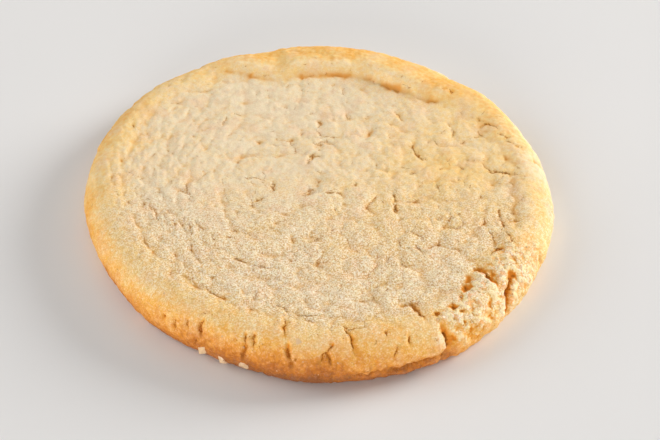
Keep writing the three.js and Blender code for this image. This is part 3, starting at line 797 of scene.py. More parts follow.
# ---- Finishes ---------------------------------------------------------------
@dataclass(frozen=True)
class Sums:
    """The sums that a finish works out in its material's node tree."""

    tree: Tree

    def kept(self, name: str) -> Socket:
        """What the mesh keeps at each point under a name."""
        return add_node(self.tree, "Attribute", attribute_name=name).outputs["Fac"]

    def cloud(self, size: float, detail: float) -> Socket:
        """Noise from 0 to 1, mostly near a half, with a given distance between its patches."""
        place = add_node(self.tree, "TexCoord").outputs["Object"]
        inputs = {"Vector": place, "Scale": 1 / (size * METRES), "Detail": detail}
        return add_node(self.tree, "TexNoise", inputs).outputs["Fac"]

    def spread(self, value: Socket, *ends: float) -> Socket:
        """Spreads a value: its two ends are given, and what each becomes."""
        inputs = {"Value": value} | dict(enumerate(ends, start=1))
        return add_node(self.tree, "MapRange", inputs).outputs["Result"]

    def reckon(self, operation: str, *terms: Socket | float) -> Socket:
        """Sums, multiplies or otherwise joins several values, from left to right."""
        total = terms[0]
        for term in terms[1:]:
            total = add_node(self.tree, "Math", {0: total, 1: term}, operation=operation).outputs[0]
        return total

    def times(self, *terms: Socket) -> Socket:
        """Multiplies several values."""
        return self.reckon("MULTIPLY", *terms)

    def tint(self, colour: Socket, share: Socket, tone: Hex) -> Socket:
        """Mixes a share of another colour into a colour."""
        inputs = {0: share, 6: colour, 7: linear(tone)}
        return add_node(self.tree, "Mix", inputs, data_type="RGBA").outputs[2]

    def ramp(self, value: Socket, stops: tuple[tuple[float, Hex], ...]) -> Socket:
        """Turns a value into a colour, by colours at stops from 0 to 1."""
        ramp = add_node(self.tree, "ValToRGB", {"Fac": value})
        elements = ramp.color_ramp.elements
        while len(elements) < len(stops):
            elements.new(1.0)
        for element, (place, tone) in zip(elements, stops):
            element.position = place
            element.color = linear(tone)
        return ramp.outputs["Color"]


@dataclass(frozen=True)
class BakedDough:
    """Butter dough, baked until it set: matt and sandy, cream on top, golden to brown below."""

    name: str = "baked_sugar_dough"
    # From the pale middle of the top, over the rim, to the foot that lay on the hot tray.
    stops: tuple[tuple[float, Hex], ...] = (
        (0.0, "#ecd8b4"),
        (0.28, "#f5cf88"),
        (0.48, "#f2b352"),
        (0.66, "#dd8e30"),
        (0.82, "#b8681e"),
        (1.0, "#8c4c1c"),
    )
    golden: Hex = "#ebac46"  # painted warm glow in a hollow, where light bounces and scatters in the dough
    orange: Hex = "#e08418"  # and a deeper painted glow in a deep one
    crack_shade: Hex = "#b4640c"  # painted shade at the bottom of a crack
    toasted_and_shaded: Hex = "#c8904a"  # butter-soaked grains, darkened further as painted shade between the grains
    floury_and_highlit: Hex = "#fff4dc"  # dry grains, and painted highlight on grain tops and proud crests
    peach: Hex = "#eec49a"  # where the top took more heat
    crumb: Hex = "#ffe6ae"  # the torn crumb's pale crests, lightened as painted highlight where its bumps rise
    crumb_pit_shade: Hex = "#f09a2c"  # and painted shade in the pits between them
    roughness: float = 0.82
    ior: float = 1.45
    gloss: float = 0.35  # open pores swallow most of the gloss
    scatter: float = 0.12
    scatter_depth: float = 0.4
    scatter_reach: tuple[float, float, float] = (1.0, 0.6, 0.3)  # red goes deepest
    # The size and detail of each grain.  The grit is sugar and flour grains of about 0.2 mm,
    # drawn half as coarse again so as to show.
    grit_grain: Ends = (0.28, 1.5)
    sand_grain: Ends = (0.8, 1.0)
    crumb_grain: Ends = (1.0, 2.5)
    patch_grain: Ends = (7.0, 2.0)
    heat_grain: Ends = (4.5, 2.0)
    grit_height: float = 0.1
    crumb_height: float = 0.24
    crumbly: Ends = (0.3, 0.7)  # the noise that the crumb's height follows
    seam_depth: float = 0.07
    seam_jag: float = 0.8  # how far grit breaks up the edge of a crack, in half widths
    jagged: Ends = (0.35, 0.65)  # the grit's noise that does it
    seam_edge: Spread = (0.3, 1.3, 1.0, 0.0)  # a crack's dark middle, by half widths from it
    seam_reach: Spread = (2.5, 4.0, 1.0, 0.0)  # and where it is cut off
    bare_sand: float = 0.4  # how high the sand stands where there is no grit
    # How patches of brown lie, by noise: the amounts are shares of the way down the stops.
    patches: Spread = (0.3, 0.7, -0.06, 0.06)
    mottles: Spread = (0.3, 0.7, -0.07, 0.07)
    # How much of each tint shows, by noise, by browning or by how hollow the crust is.
    heated: Spread = (0.5, 0.68, 0.0, 0.45)
    dry: Spread = (0.52, 0.66, 0.0, 0.75)
    buttery_and_shaded: Spread = (0.5, 0.36, 0.0, 0.6)
    crests: Spread = (0.5, 0.62, 0.0, 0.8)
    pits: Spread = (0.46, 0.38, 0.0, 0.5)
    pale: Spread = (0.2, 0.75, 1.0, 0.1)
    light: Spread = (0.55, 0.85, 1.0, 0.2)
    deep: Spread = (0.1, 0.5, 0.45, 0.85)
    proud: Spread = (-0.1, -1.0, 0.0, 0.6)
    shallow: Spread = (0.06, 0.7, 0.0, 0.85)
    sunken_glow: Spread = (0.4, 0.9, 0.0, 0.95)

    def seam(self, sums: Sums, grit: Socket) -> Socket:
        """Where the thin middle of the cracks takes its painted shade, from 0 to 1, with its edges
        broken up by grit.
        """
        away = add_node(sums.tree, "Math", {0: sums.kept("seam")}, operation="ABSOLUTE").outputs[0]
        jag = sums.spread(grit, *self.jagged, -self.seam_jag, self.seam_jag)
        line = sums.spread(sums.reckon("ADD", away, jag), *self.seam_edge)
        return sums.times(line, sums.spread(sums.kept("seam_near"), *self.seam_reach))

    def colour(self, sums: Sums, grit: Socket, sand: Socket, crumb: Socket, seam: Socket) -> Socket:
        """The crust's colour, from how baked and how hollow the mesh is at each point, with painted
        glow, highlight and shade laid over it.

        Args:
            sums: The sums of the material's node tree.
            grit: The grit's noise.
            sand: The coarser sand's noise.
            crumb: The torn crumb's noise.
            seam: The thin middle of the cracks, where their painted shade goes.

        Returns:
            The socket that gives the colour.
        """
        bake_and_highlight, hollow, coarse, sandy = map(sums.kept, ("bake_and_highlight", "hollow", "coarse", "sandy"))
        patches = sums.spread(sums.cloud(*self.patch_grain), *self.patches)
        browned = sums.reckon("ADD", bake_and_highlight, patches, sums.spread(sand, *self.mottles))
        heated = sums.spread(sums.cloud(*self.heat_grain), *self.heated)
        dry, buttery_and_shaded = (sums.spread(grit, *ends) for ends in (self.dry, self.buttery_and_shaded))
        crests, pits = (sums.spread(crumb, *ends) for ends in (self.crests, self.pits))
        pale, light, deep = (sums.spread(browned, *ends) for ends in (self.pale, self.light, self.deep))
        proud, shallow, sunken_glow = (
            sums.spread(hollow, *ends) for ends in (self.proud, self.shallow, self.sunken_glow)
        )
        colour = sums.ramp(browned, self.stops)
        for share, tone in (
            (sums.times(heated, pale), self.peach),
            # proud crests painted paler: dry flour there, and painted highlight where the raised crust
            # meets the light
            (sums.times(proud, pale), self.floury_and_highlit),
            # low grains painted darker and high grains paler, by the noise of the grit's bump: the
            # grains' own colour, with painted shade and highlight
            (sums.times(buttery_and_shaded, pale, sandy), self.toasted_and_shaded),
            (sums.times(dry, pale, sandy), self.floury_and_highlit),
            # the crumb's bump tops painted lighter and its pits painted in shade, by the same noise that
            # raises its bump
            (sums.times(crests, coarse, pale), self.crumb),
            (sums.times(pits, coarse), self.crumb_pit_shade),
            # painted glow of light that bounces and scatters in the hollows: golden in shallow ones,
            # orange in deep ones
            (sums.times(shallow, light), self.golden),
            (sums.times(sunken_glow, light), self.orange),
            # painted shade down the thin middle of each crack
            (sums.times(seam, deep), self.crack_shade),
        ):
            colour = sums.tint(colour, share, tone)
        return colour

    def material(self) -> bpy.types.Material:
        """Makes the crust's material."""
        material = new_material(self.name)
        sums = Sums(material.node_tree)
        grains = (self.grit_grain, self.sand_grain, self.crumb_grain)
        grit, sand, crumb = (sums.cloud(*grain) for grain in grains)
        seam = self.seam(sums, grit)
        colour = self.colour(sums, grit, sand, crumb, seam)
        sandy = sums.kept("sandy")
        rough = sums.spread(crumb, *self.crumbly, 0.0, self.crumb_height / self.grit_height)
        height = sums.reckon(
            "ADD",
            sums.times(grit, sandy),
            sums.times(sand, sums.spread(sandy, 0.0, 1.0, self.bare_sand, 1.0)),
            sums.spread(seam, 0.0, 1.0, 0.0, -self.seam_depth / self.grit_height),
            sums.times(rough, sums.kept("coarse")),
        )
        bump = {"Height": height, "Distance": self.grit_height * METRES, "Strength": 1.0}
        inputs = {
            "Base Color": colour,
            "Roughness": self.roughness,
            "IOR": self.ior,
            "Specular IOR Level": self.gloss,
            "Subsurface Weight": self.scatter,
            "Subsurface Radius": self.scatter_reach,
            "Subsurface Scale": self.scatter_depth * METRES,
            "Normal": add_node(sums.tree, "Bump", bump).outputs["Normal"],
        }
        return surfaced(material, inputs)


@dataclass(frozen=True)
class SugarCrystal:
    """Coarse white sugar: clear blunt crystals, whitened by their scratched faces."""

    name: str = "coarse_sugar"
    colour: Hex = "#f7d0a0"
    roughness: float = 0.25
    ior: float = 1.54
    clearness: float = 0.2

    def material(self) -> bpy.types.Material:
        """Makes the crystals' material."""
        inputs = {
            "Base Color": linear(self.colour),
            "Roughness": self.roughness,
            "IOR": self.ior,
            "Transmission Weight": self.clearness,
        }
        return surfaced(new_material(self.name), inputs)


@dataclass(frozen=True)
class HonedBoard:
    """A pale board honed to a satin: even, with no grain and a soft wide sheen."""

    name: str = "honed_board"
    colour: Hex = "#e6e4e1"
    roughness: float = 0.45

    def material(self) -> bpy.types.Material:
        """Makes the floor's material."""
        inputs = {"Base Color": linear(self.colour), "Roughness": self.roughness}
        return surfaced(new_material(self.name), inputs)


# ---- Browning ---------------------------------------------------------------
@dataclass
class Browning:
    """How browned the crust is, from 0 where it is palest to 1 at the foot, less the paling at the lit
    right side and edge that is painted highlight.
    """

    form: PlainForm
    rim: Rim
    least: float = 0.05
    rim_share: float = 0.46
    rim_reach: Ends = (-5.0, 9.0)  # past the crease
    back_share: float = 0.02
    foot_share: float = 0.68
    foot_from: float = 6.2  # above the widest part
    # The foot is brownest in front and least towards the back.  Towards the right it is also paler, as
    # painted highlight where the key light falls.
    front: Ends = (-92.0, 130.0)  # its direction and spread
    front_least: float = 0.4
    right: Ends = (5.0, 85.0)
    right_least: float = 0.1
    # painted highlight: how much of the rim's browning is kept at the lit right
    right_rim: float = 0.5
    right_edge: tuple[float, float, float] = (40.5, 46.0, 0.9)  # painted highlight: it pales to its edge, and how far
    far: Ends = (75.0, 90.0)  # and so does the far side, as painted highlight
    back: Ends = (80.0, 150.0)
    back_least: float = 0.1
    left: Ends = (178.0, 110.0)
    left_least: float = 0.72
    # browning by a split's depth: partly the exposed crumb's own colour, partly painted shade
    torn_share: Ends = (0.25, 0.3)
    mottles: tuple[Ends, ...] = ((0.06, 9.0), (0.05, 3.0))  # amount and size
    mottled: Ends = (0.4, 1.4)  # how strongly they show, on the top and on the rim
    # Where the oven was hotter or cooler: distance, angle, width and amount.  The pale spot at 44 mm and
    # 0 degrees, on the right edge, is painted highlight instead, where the key light falls.
    spots: tuple[tuple[float, float, float, float], ...] = (
        (25.0, -12.0, 38.0, 0.14),
        (32.0, 20.0, 34.0, 0.1),
        (44.0, 0.0, 20.0, -0.14),
        (20.0, 95.0, 36.0, -0.06),
        (46.0, -50.0, 18.0, -0.22),
    )

    def at(self, skin: Skin, torn: Floats) -> Floats:
        """Works out the browning.

        Args:
            skin: The skin points.
            torn: The depth of the splits at each.

        Returns:
            How browned the crust is at each.
        """
        golden = smoothstep(self.rim.past_crease(skin), *self.rim_reach)
        low = smoothstep(abs(skin), self.form.bulge_at - self.foot_from, self.form.skin_radius)
        # painted highlight: paler towards the lit right, and at the edge towards the right and the far
        # side
        right = towards(skin, *self.right)
        start, end, edge = self.right_edge
        rolled = golden * lerp(1, self.right_rim, right)
        lit_edge = np.maximum(right, towards(skin, *self.far))
        rolled = rolled * (1 - edge * lit_edge * smoothstep(abs(skin), start, end))
        left = lerp(1, self.left_least, towards(skin, *self.left))
        foot = self.foot_share * lerp(self.front_least, 1, towards(skin, *self.front))
        foot = foot * lerp(1, self.right_least, right)
        foot = foot * lerp(1, self.back_least, towards(skin, *self.back))
        browned = self.least + left * (self.rim_share * rolled + foot * low)
        browned = browned + self.back_share * golden * self.rim.backness(skin)
        # browner deeper in the splits: partly the exposed crumb's own colour, partly painted shade
        browned = browned + lerp(*self.torn_share, golden) * np.clip(torn, 0, 1)
        for distance, angle, width, amount in self.spots:
            browned = browned + amount * bell(abs(skin - skin_point(distance, angle)), width)
        for seed, (amount, size) in enumerate(self.mottles):
            browned = browned + amount * noise(skin, size, 301 + seed) * lerp(*self.mottled, golden)
        return browned


# ---- The crust --------------------------------------------------------------
@dataclass
class Wrinkles:
    """Soft wrinkles round the left of the top."""

    depth: float = 0.14
    pitch: float = 2.7
    stray: Ends = (1.1, 4.0)  # reach and size
    bend: Ends = (4.0, 9.0)  # how far one runs out of its round, in radians, and over what size
    angle: float = 185.0
    spread: Ends = (25.0, 70.0)  # the angles from there between which they fade
    inner: Ends = (22.0, 28.0)  # from the middle
    outer: Ends = (38.0, 43.0)
    broken: Patches = (4.0, -0.3, 0.5)  # where they show
    sharp: Ends = (0.6, 1.0)  # the part of a wave that a wrinkle takes up

    def depths(self, skin: Skin) -> Floats:
        """How deep the wrinkles are at each skin point."""
        crooked = strayed(skin, *self.stray, 95)
        angle = bearing(turned(crooked, self.angle))
        bent = self.bend[0] * noise(skin, self.bend[1], 96)
        ridge = np.sin(2 * math.pi * abs(crooked) / self.pitch + bent)
        left = 1 - smoothstep(abs(angle), *self.spread)
        ring = smoothstep(abs(skin), *self.inner) * (1 - smoothstep(abs(skin), *self.outer))
        broken = patchy(skin, *self.broken, 97)
        return self.depth * left * ring * broken * smoothstep(ridge, *self.sharp)


@dataclass
class Fibres:
    """The torn, stringy crust down the side, with pits in it."""

    form: PlainForm
    size: Ends = (0.75, 2.6)  # round the side, and down it
    height: float = 0.2
    stray: Ends = (0.4, 1.3)  # reach and size
    start: float = 5.0  # above the widest part
    pits: Patches = (1.6, 0.35, 0.8)
    pit_depth: float = 1.4  # as a share of the height

    def heights(self, skin: Skin, rough: Floats) -> Floats:
        """How high the fibres stand at each skin point, where the side is rough."""
        at = strayed(skin, *self.stray, 99)
        round_ = np.angle(at * 1j) * self.form.radius
        strings = round_ / self.size[0] + 1j * abs(at) / self.size[1]
        low = smoothstep(abs(skin), self.form.bulge_at - self.start, self.form.bulge_at)
        stringy = noise(strings, 1.0, 141) - self.pit_depth * patchy(strings, *self.pits, 142)
        return low * rough * self.height * stringy


@dataclass
class Crust:
    """The whole crust of the cookie, from the middle of its top to its flat base."""

    form: PlainForm = field(default_factory=PlainForm)
    rings: int = 172
    base_share: int = 4  # rings of the crust for each ring of the plain base
    base_inset: float = 0.985
    base_bake: float = 0.93
    base_coarse: float = 0.3
    base_sandy: float = 0.6
    # Height and size of the crust's unevenness, from lumps down to grains.
    lumps: tuple[Ends, ...] = ((0.14, 12.0), (0.08, 3.1), (0.055, 1.3), (0.042, 0.66))
    foot_fade: float = 2.0
    crazed: Ends = (-1.0, 5.0)  # past the crease, the crazing fades
    flaked: float = 0.65  # the share of the flakes that is left where it has
    pored: float = 0.3  # and of the chips and pores
    faded: float = 0.01  # below this share, crazing counts as gone
    ragged: Ends = (0.22, 1.1)  # reach and size of the foot's uneven edge
    ragged_steps: Ends = (0.4, 0.7)
    ragged_inset: float = 1.0  # from the widest part and from the foot, where it begins and ends
    calm_ends: Ends = (0.0, 30.0)  # along +Y
    calm: float = 0.34  # how much smoother the crust is at the back of the top
    back_seam: float = 1.6  # and how much thinner the cracks' dark middles are
    # How strongly the painted glow shows in hollows: on the top, on the rim, and more in the torn
    # corner.
    tinted: tuple[float, float, float] = (0.65, 1.0, 1.3)
    soft_back: float = 0.55  # how much less they are at the back of the rim
    soft_right: float = 0.6  # and at its right, towards its edge, which is kept pale as painted highlight
    right_ends: Ends = (38.0, 46.0)  # from the middle
    sand: Ends = (1.15, 0.22)  # how sandy the crust is in front, and at the back
    sand_ends: Ends = (-18.0, 5.0)
    side_sand: float = 0.65  # the share of it down the side
    coarse_least: float = 0.1
    coarse_rim: tuple[float, float, float] = (-2.0, 6.0, 0.22)  # past the crease, and how much
    coarse_patches: Patches = (5.0, -0.3, 0.8)
    coarse_patch: float = 0.15
    even: Ends = (160.0, 200.0)  # where the side is smoothest
    even_rough: float = 0.35  # and how rough it is there
    # At the left the cracks run round the top: they are squeezed together towards its edge.
    left: Ends = (185.0, 95.0)
    left_radius: float = 27.0
    left_squeeze: float = 0.9
    left_calm: float = 0.68
    finish: BakedDough = field(default_factory=BakedDough)

    def __post_init__(self) -> None:
        """Sets up the parts of the relief."""
        self.rim = Rim(self.form)
        self.browning = Browning(self.form, self.rim)
        self.corner = BrokenCorner()
        self.splits = Splits()
        self.wrinkles = Wrinkles()
        self.fibres = Fibres(self.form)
        self.chips = Chips()
        self.pores = Pores(1.0, 0.12, 121, low=0.4)
        self.plates = Crazing(
            pitch=4.6,
            lift=0.12,
            dome=0.18,
            depth=0.19,
            width=0.6,
            seam=0.09,
            seed=4,
            strong=(0.3, 0.95),
        )
        self.flakes = Crazing(
            pitch=2.1,
            lift=0.05,
            dome=0.065,
            depth=0.08,
            width=0.5,
            seam=0.06,
            seed=201,
            strong=(0.45, 1.0),
            stray=(0.5, 1.3),
            fray=(0.14, 0.5),
        )

    def rough(self, skin: Skin) -> Floats:
        """How rough the side is in each direction: least at the left."""
        return lerp(1, self.even_rough, towards(skin, *self.even))

    def relief(self, skin: Skin) -> tuple[Floats, Floats]:
        """Works out the crust's relief.

        Args:
            skin: The skin points.

        Returns:
            How far the crust stands out of the plain form at each, and the nearest seam.
        """
        busy = 1 - self.calm * smoothstep(skin.imag, *self.calm_ends)
        crazed = busy * (1 - smoothstep(self.rim.past_crease(skin), *self.crazed))
        left = towards(skin, *self.left)
        squeezed = skin * (abs(skin) / self.left_radius) ** (self.left_squeeze * left)
        crazed = crazed * lerp(1, self.left_calm, left)
        plates, plate_seam = self.plates.relief(squeezed)
        flakes, flake_seam = self.flakes.relief(squeezed)
        flaked = lerp(self.flaked, 1, crazed)
        split, split_seam = self.splits.cut(skin)
        raised = self.rim.relief(skin) + self.corner.relief(skin) + crazed * plates + flaked * flakes
        raised = raised - self.rim.hairlines(skin) - self.wrinkles.depths(skin) - split
        holes = self.chips.depths(skin) + self.pores.depths(skin)
        raised = raised - lerp(self.pored, 1, crazed) * holes
        raised = raised + self.fibres.heights(skin, self.rough(skin))
        for seed, (height, size) in enumerate(self.lumps):
            raised = raised + height * noise(skin, size, 71 + seed)
        above = np.clip((self.form.skin_radius - abs(skin)) / self.foot_fade, 0, 1)
        plate_seam = plate_seam / np.maximum(crazed, self.faded)
        flake_seam = flake_seam / np.maximum(flaked, self.faded)
        thinned = lerp(1, self.back_seam, smoothstep(skin.imag, *BACK_OF_TOP))
        return above * raised, closest([split_seam, plate_seam, flake_seam]) * thinned

    def place(self, skin: Skin) -> tuple[Floats, Floats]:
        """The places of skin points on the finished crust, and the way the form faces there."""
        place, facing = self.form.wrap(skin)
        reach, size = self.ragged
        start, end = self.form.bulge_at + self.ragged_inset, self.form.skin_radius - self.ragged_inset
        reach = reach * smoothstep(abs(skin), start, end) * self.rough(skin)
        torn = noise(crumbled(skin, *self.ragged_steps, 151), size, 152)
        uneven = 1 + reach * torn / self.form.radius
        place[:, :2] *= uneven[:, None]
        return place + facing * self.relief(skin)[0][:, None], facing

    def build(self) -> bpy.types.Object:
        """Builds and dresses the crust.

        Returns:
            The piece.
        """
        skin, facets = hexagons(self.rings)
        skin = skin * self.form.skin_radius
        places, _ = self.place(skin)
        base_rings = self.rings // self.base_share
        base, base_facets = hexagons(base_rings)
        foot, _ = self.form.wrap(self.form.skin_radius * base / np.maximum(abs(base), NEARLY_NONE))
        foot[:, :2] *= (abs(base) * self.base_inset)[:, None]
        foot[:, 2] = 0
        joined = self.foot_strip(base_rings, len(skin))
        faces = np.concatenate([facets, base_facets[:, ::-1] + len(skin), joined])
        piece = mesh_piece("crust", np.concatenate([places, foot]), faces)
        self.shade(piece.data, skin, len(base))
        piece.data.materials.append(self.finish.material())
        return piece

    def foot_strip(self, base_rings: int, first_base: int) -> Floats:
        """The facets that join the foot of the crust to the base's outer ring.

        Args:
            base_rings: How many rings the base has.
            first_base: The number of the base's first point.

        Returns:
            Three point numbers for each facet.
        """
        count, share = 6 * base_rings, self.base_share
        coarse = np.arange(count)
        here = first_base + first_of_ring(base_rings) + coarse
        after = first_base + first_of_ring(base_rings) + (coarse + 1) % count
        start = first_of_ring(self.rings)
        fine = [start + (coarse * share + n) % (count * share) for n in range(share + 1)]
        half = share // 2
        strip = [[here, fine[n + 1], fine[n]] for n in range(half)]
        strip.append([here, after, fine[half]])
        strip += [[after, fine[n + 1], fine[n]] for n in range(half, share)]
        return np.concatenate([np.stack(corners, axis=1) for corners in strip])

    def shade(self, mesh: bpy.types.Mesh, skin: Skin, base_count: int) -> None:
        """Writes what the finish needs to know of each point on to the crust's mesh.

        Args:
            mesh: The crust's mesh.
            skin: Its skin points.
            base_count: How many points of the mesh are the base's, after the crust's.
        """
        mesh.shade_smooth()
        relief, seam = self.relief(skin)
        hollow = hollows(mesh, relief)
        values = {
            "bake_and_highlight": (self.browning.at(skin, self.splits.cut(skin)[0]), self.base_bake),
            # hollow drives the painted glow in hollows and the paler paint on proud crests
            "hollow": (np.clip(hollow * self.coloured(skin), -1, 1), 0),
            "coarse": (self.coarse(skin), self.base_coarse),
            "sandy": (self.sandy(skin), self.base_sandy),
            "seam": (seam, SEAM_LIMIT),
            "seam_near": (abs(seam), SEAM_LIMIT),
        }
        for name, (value, on_base) in values.items():
            layer = mesh.attributes.new(name, "FLOAT", "POINT")
            whole = np.concatenate([value, np.full(base_count, on_base)])
            layer.data.foreach_set("value", whole.astype(np.float32))

    def coloured(self, skin: Skin) -> Floats:
        """How strongly a hollow takes its painted glow at each skin point."""
        top, side, torn = self.tinted
        golden = smoothstep(self.rim.past_crease(skin), *RIM_BEGINS)
        share = lerp(top, side, golden) + torn * self.corner.share(skin)
        share = share * (1 - self.soft_back * self.rim.backness(skin) * golden)
        # less glow at the right edge, which is kept pale as painted highlight
        right = towards(skin, *self.browning.right)
        return share * (1 - self.soft_right * right * smoothstep(abs(skin), *self.right_ends))

    def sandy(self, skin: Skin) -> Floats:
        """How much dry grit shows: most in front, where the sugar fell thickest."""
        fallen = lerp(*self.sand, smoothstep(skin.imag, *self.sand_ends))
        golden = smoothstep(self.rim.past_crease(skin), *RIM_BEGINS) * (1 - self.corner.share(skin))
        return fallen * lerp(1, self.side_sand, golden)

    def coarse(self, skin: Skin) -> Floats:
        """How coarse the crust's grain is, from 0 where it is sandy to 1 where the crumb is torn."""
        start, end, amount = self.coarse_rim
        grain = amount * smoothstep(self.rim.past_crease(skin), start, end)
        grain = grain + self.coarse_patch * patchy(skin, *self.coarse_patches, 303)
        return np.clip(self.coarse_least + self.rough(skin) * grain + self.corner.share(skin), 0, 1)


def first_of_ring(ring: int) -> int:
    """The first point's number in a ring: one middle point, then 6, 12, 18 ..."""
    return 0 if ring == 0 else 1 + 3 * ring * (ring - 1)


def hexagons(rings: int) -> tuple[Skin, Floats]:
    """A round disc of rings of points, each ring six points longer than the last.

    Args:
        rings: How many rings there are.

    Returns:
        The points, as shares of the disc's radius, and three point numbers for each facet.
    """
    points, facets = [np.zeros(1, complex)], []
    for ring in range(1, rings + 1):
        i = np.arange(6 * ring)
        points.append(skin_point(ring / rings, 60 * i / ring))
        b = i - i // ring
        inner, inner_next = (
            first_of_ring(ring - 1) + n % max(6 * (ring - 1), 1) for n in (b, b + 1)
        )
        outer, outer_next = (first_of_ring(ring) + n % (6 * ring) for n in (i, i + 1))
        facets.append(np.stack([inner, outer, outer_next], axis=1))
        second = i % ring < ring - 1
        facets.append(np.stack([inner, outer_next, inner_next], axis=1)[second])
    return np.concatenate(points), np.concatenate(facets)


def hollows(mesh: bpy.types.Mesh, relief: Floats, rounds: int = 30) -> Floats:
    """How far each point of the crust lies below the mean of what is round it.

    Args:
        mesh: The crust's mesh.
        relief: The height of each crust point over the plain form.
        rounds: How many times the mean is taken with each point's neighbours.

    Returns:
        A number from -1, proud, by 0, level, to 1, deep in a crack.
    """
    edges = np.zeros(len(mesh.edges) * 2, np.int32)
    mesh.edges.foreach_get("vertices", edges)
    edges = edges.reshape(-1, 2)
    edges = edges[(edges < len(relief)).all(axis=1)]
    ends, starts = edges.T
    count = np.bincount(np.concatenate([ends, starts]), minlength=len(relief))
    mean = relief
    for _ in range(rounds):
        total = np.bincount(ends, mean[starts], len(relief))
        total += np.bincount(starts, mean[ends], len(relief))
        mean = total / count
    return np.clip((mean - relief) / HOLLOW_DEPTH, -1, 1)


# ---- Sugar crystals ---------------------------------------------------------
@dataclass
class SugarCrystals:
    """Sugar crystals baked on to the crust: a few large ones, and many small."""

    crust: Crust
    # Distance and angle on the skin, and size.
    large: tuple[tuple[float, float, float], ...] = (
        (48.9, -118.4, 3.4),
        (49.3, -113.4, 3.1),
        (49.5, -107.4, 3.3),
        (41.8, -94.4, 1.9),
        (41.4, -58, 1.3),
        (41.3, -59.6, 0.9),
        (41.4, -37.2, 0.9),
        (39.4, -50, 0.8),
    )
    small_count: int = 40
    small_size: Ends = (0.3, 0.6)
    corner_share: float = 0.6  # of the small ones, how many lie in the broken corner
    corner: Ends = (-66, -22)
    front: Ends = (-150, -20)
    ring: Ends = (36, 48)
    form: tuple[float, float, float] = (1.2, 0.95, 0.7)  # a crystal's sides, as shares of its size
    proud: float = -0.27  # how far its middle stands out of the crust, as a share of its size
    finish: SugarCrystal = field(default_factory=SugarCrystal)

    def spots(self) -> list[tuple[float, float, float]]:
        """Where the crystals lie, and their sizes."""
        spots = list(self.large)
        for index in range(self.small_count):
            draw = [float(chance(index, n, 84)) for n in range(4)]
            stretch = self.corner if draw[3] < self.corner_share else self.front
            place = (lerp(*self.ring, draw[1]), lerp(*stretch, draw[0]))
            spots.append((*place, lerp(*self.small_size, draw[2])))
        return spots

    def build(self) -> bpy.types.Object:
        """Builds and dresses the crystals as one joined mesh.

        Returns:
            The piece.
        """
        spots = self.spots()
        skin = np.array([complex(skin_point(d, a)) for d, a, _ in spots])
        places, facing = self.crust.place(skin)
        joined = bmesh.new()
        for index, (_, _, size) in enumerate(spots):
            turns = [math.pi * float(chance(index, axis, 81)) for axis in (1, 2, 3)]
            turned = Matrix.Rotation(turns[0], 4, "X") @ Matrix.Rotation(turns[1], 4, "Y")
            turned = turned @ Matrix.Rotation(turns[2], 4, "Z")
            middle = Vector(places[index] + facing[index] * self.proud * size) * METRES
            form = Matrix.Diagonal((*(n * size * METRES for n in self.form), 1))
            place = Matrix.Translation(middle) @ turned @ form
            bmesh.ops.create_icosphere(joined, subdivisions=1, radius=0.5, matrix=place)
        mesh = bpy.data.meshes.new("sugar_crystals")
        joined.to_mesh(mesh)
        joined.free()
        mesh.materials.append(self.finish.material())
        return add_object("sugar_crystals", mesh)


# ---- The studio -------------------------------------------------------------
@dataclass(frozen=True)
class SoftLight:
    """A wide round light that faces the cookie."""

    name: str
    azimuth: float  # from +X towards +Y
    elevation: float
    power: float  # watts
    size: float
    distance: float = 1200.0
    colour: Hex = "#fffefe"

    def build(self) -> None:
        """Hangs the light."""
        data = bpy.data.lights.new(self.name, "AREA")
        data.shape, data.size = "DISK", self.size * METRES
        data.energy, data.color = self.power, linear(self.colour)[:3]
        light = add_object(self.name, data)
        rise = math.radians(self.elevation)
        flat = skin_point(math.cos(rise), self.azimuth)
        away = Vector((flat.real, flat.imag, math.sin(rise)))
        light.location = away * self.distance * METRES
        light.rotation_euler = away.to_track_quat("Z", "Y").to_euler()


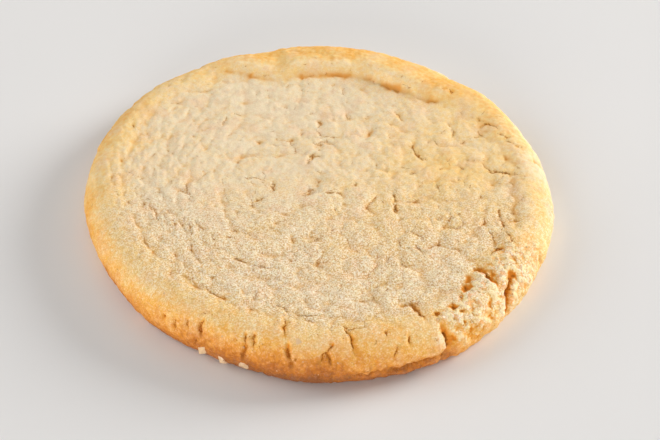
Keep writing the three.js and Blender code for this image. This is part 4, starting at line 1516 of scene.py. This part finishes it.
@dataclass
class Studio:
    """A plain pale floor, soft light and the camera."""

    target: tuple[float, float, float] = (2.3, -6.7, 5.0)
    distance: float = 400.0
    elevation: float = 43.6
    lens: float = 114.15
    sensor: float = 36.0
    clip: Ends = (10.0, 20000.0)
    floor_size: float = 4000.0
    floor_height: float = -0.02
    lights: tuple[SoftLight, ...] = (
        SoftLight("key", 25, 19, 17.0, 600),
        SoftLight("left_fill", 168, 32, 7.2, 1000),
        SoftLight("back_fill", 95, 50, 1.4, 1000),
        SoftLight("front_fill", -90, 45, 0.4, 1000),
        SoftLight("low_card", -100, 9, 11.0, 700),
    )
    sky_colour: Hex = "#f7f8fa"
    sky_strength: float = 0.2
    finish: HonedBoard = field(default_factory=HonedBoard)

    def camera(self) -> None:
        """Sets the camera up in front of the cookie, looking down at it."""
        data = bpy.data.cameras.new("camera")
        data.lens, data.sensor_width = self.lens, self.sensor
        data.clip_start, data.clip_end = (end * METRES for end in self.clip)
        camera = add_object("camera", data)
        rise = math.radians(self.elevation)
        back = Vector((0, -math.cos(rise), math.sin(rise)))
        camera.location = (Vector(self.target) + back * self.distance) * METRES
        camera.rotation_euler = (-back).to_track_quat("-Z", "Y").to_euler()
        bpy.context.scene.camera = camera

    def floor(self) -> None:
        """Lays the floor under the cookie."""
        half = self.floor_size / 2
        flat = half * np.array([[-1, -1], [1, -1], [1, 1], [-1, 1]])
        corners = np.column_stack([flat, np.full(len(flat), self.floor_height)])
        floor = mesh_piece("floor", corners, [(0, 1, 2, 3)])
        floor.data.materials.append(self.finish.material())

    def sky(self) -> None:
        """Sets the pale sky that fills in the shadows."""
        world = bpy.data.worlds.new("sky")
        world.use_nodes = True
        sky = world.node_tree.nodes["Background"]
        sky.inputs["Color"].default_value = linear(self.sky_colour)
        sky.inputs["Strength"].default_value = self.sky_strength
        bpy.context.scene.world = world

    def build(self) -> None:
        """Sets up the whole studio."""
        self.camera()
        self.floor()
        self.sky()
        for light in self.lights:
            light.build()
        bpy.context.scene.view_settings.view_transform = "Standard"


def settle(pieces: list[bpy.types.Object], crust: bpy.types.Object) -> None:
    """Moves the pieces so that the crust stands in the middle of the solid's box.

    Args:
        pieces: All the pieces, crust among them.
        crust: The crust.
    """
    low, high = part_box(NODE)
    corners = np.array([corner[:] for corner in crust.bound_box])
    middle = (low + high) / 2 - Vector((corners.min(axis=0) + corners.max(axis=0)) / 2)
    middle.z = low.z - corners[:, 2].min()
    for piece in pieces:
        piece.data.transform(Matrix.Translation(middle))


def main() -> None:
    """Builds the cookie and the studio, in order."""
    logging.basicConfig(level=logging.INFO, format="%(message)s")
    Studio().build()
    crust = Crust()
    pieces = [crust.build(), SugarCrystals(crust).build()]
    settle(pieces, pieces[0])
    for piece in pieces:
        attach(piece, BODY)
        LOG.info("%s: %d facets", piece.name, len(piece.data.polygons))
    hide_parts(NODE)


if __name__ == "__main__":
    main()
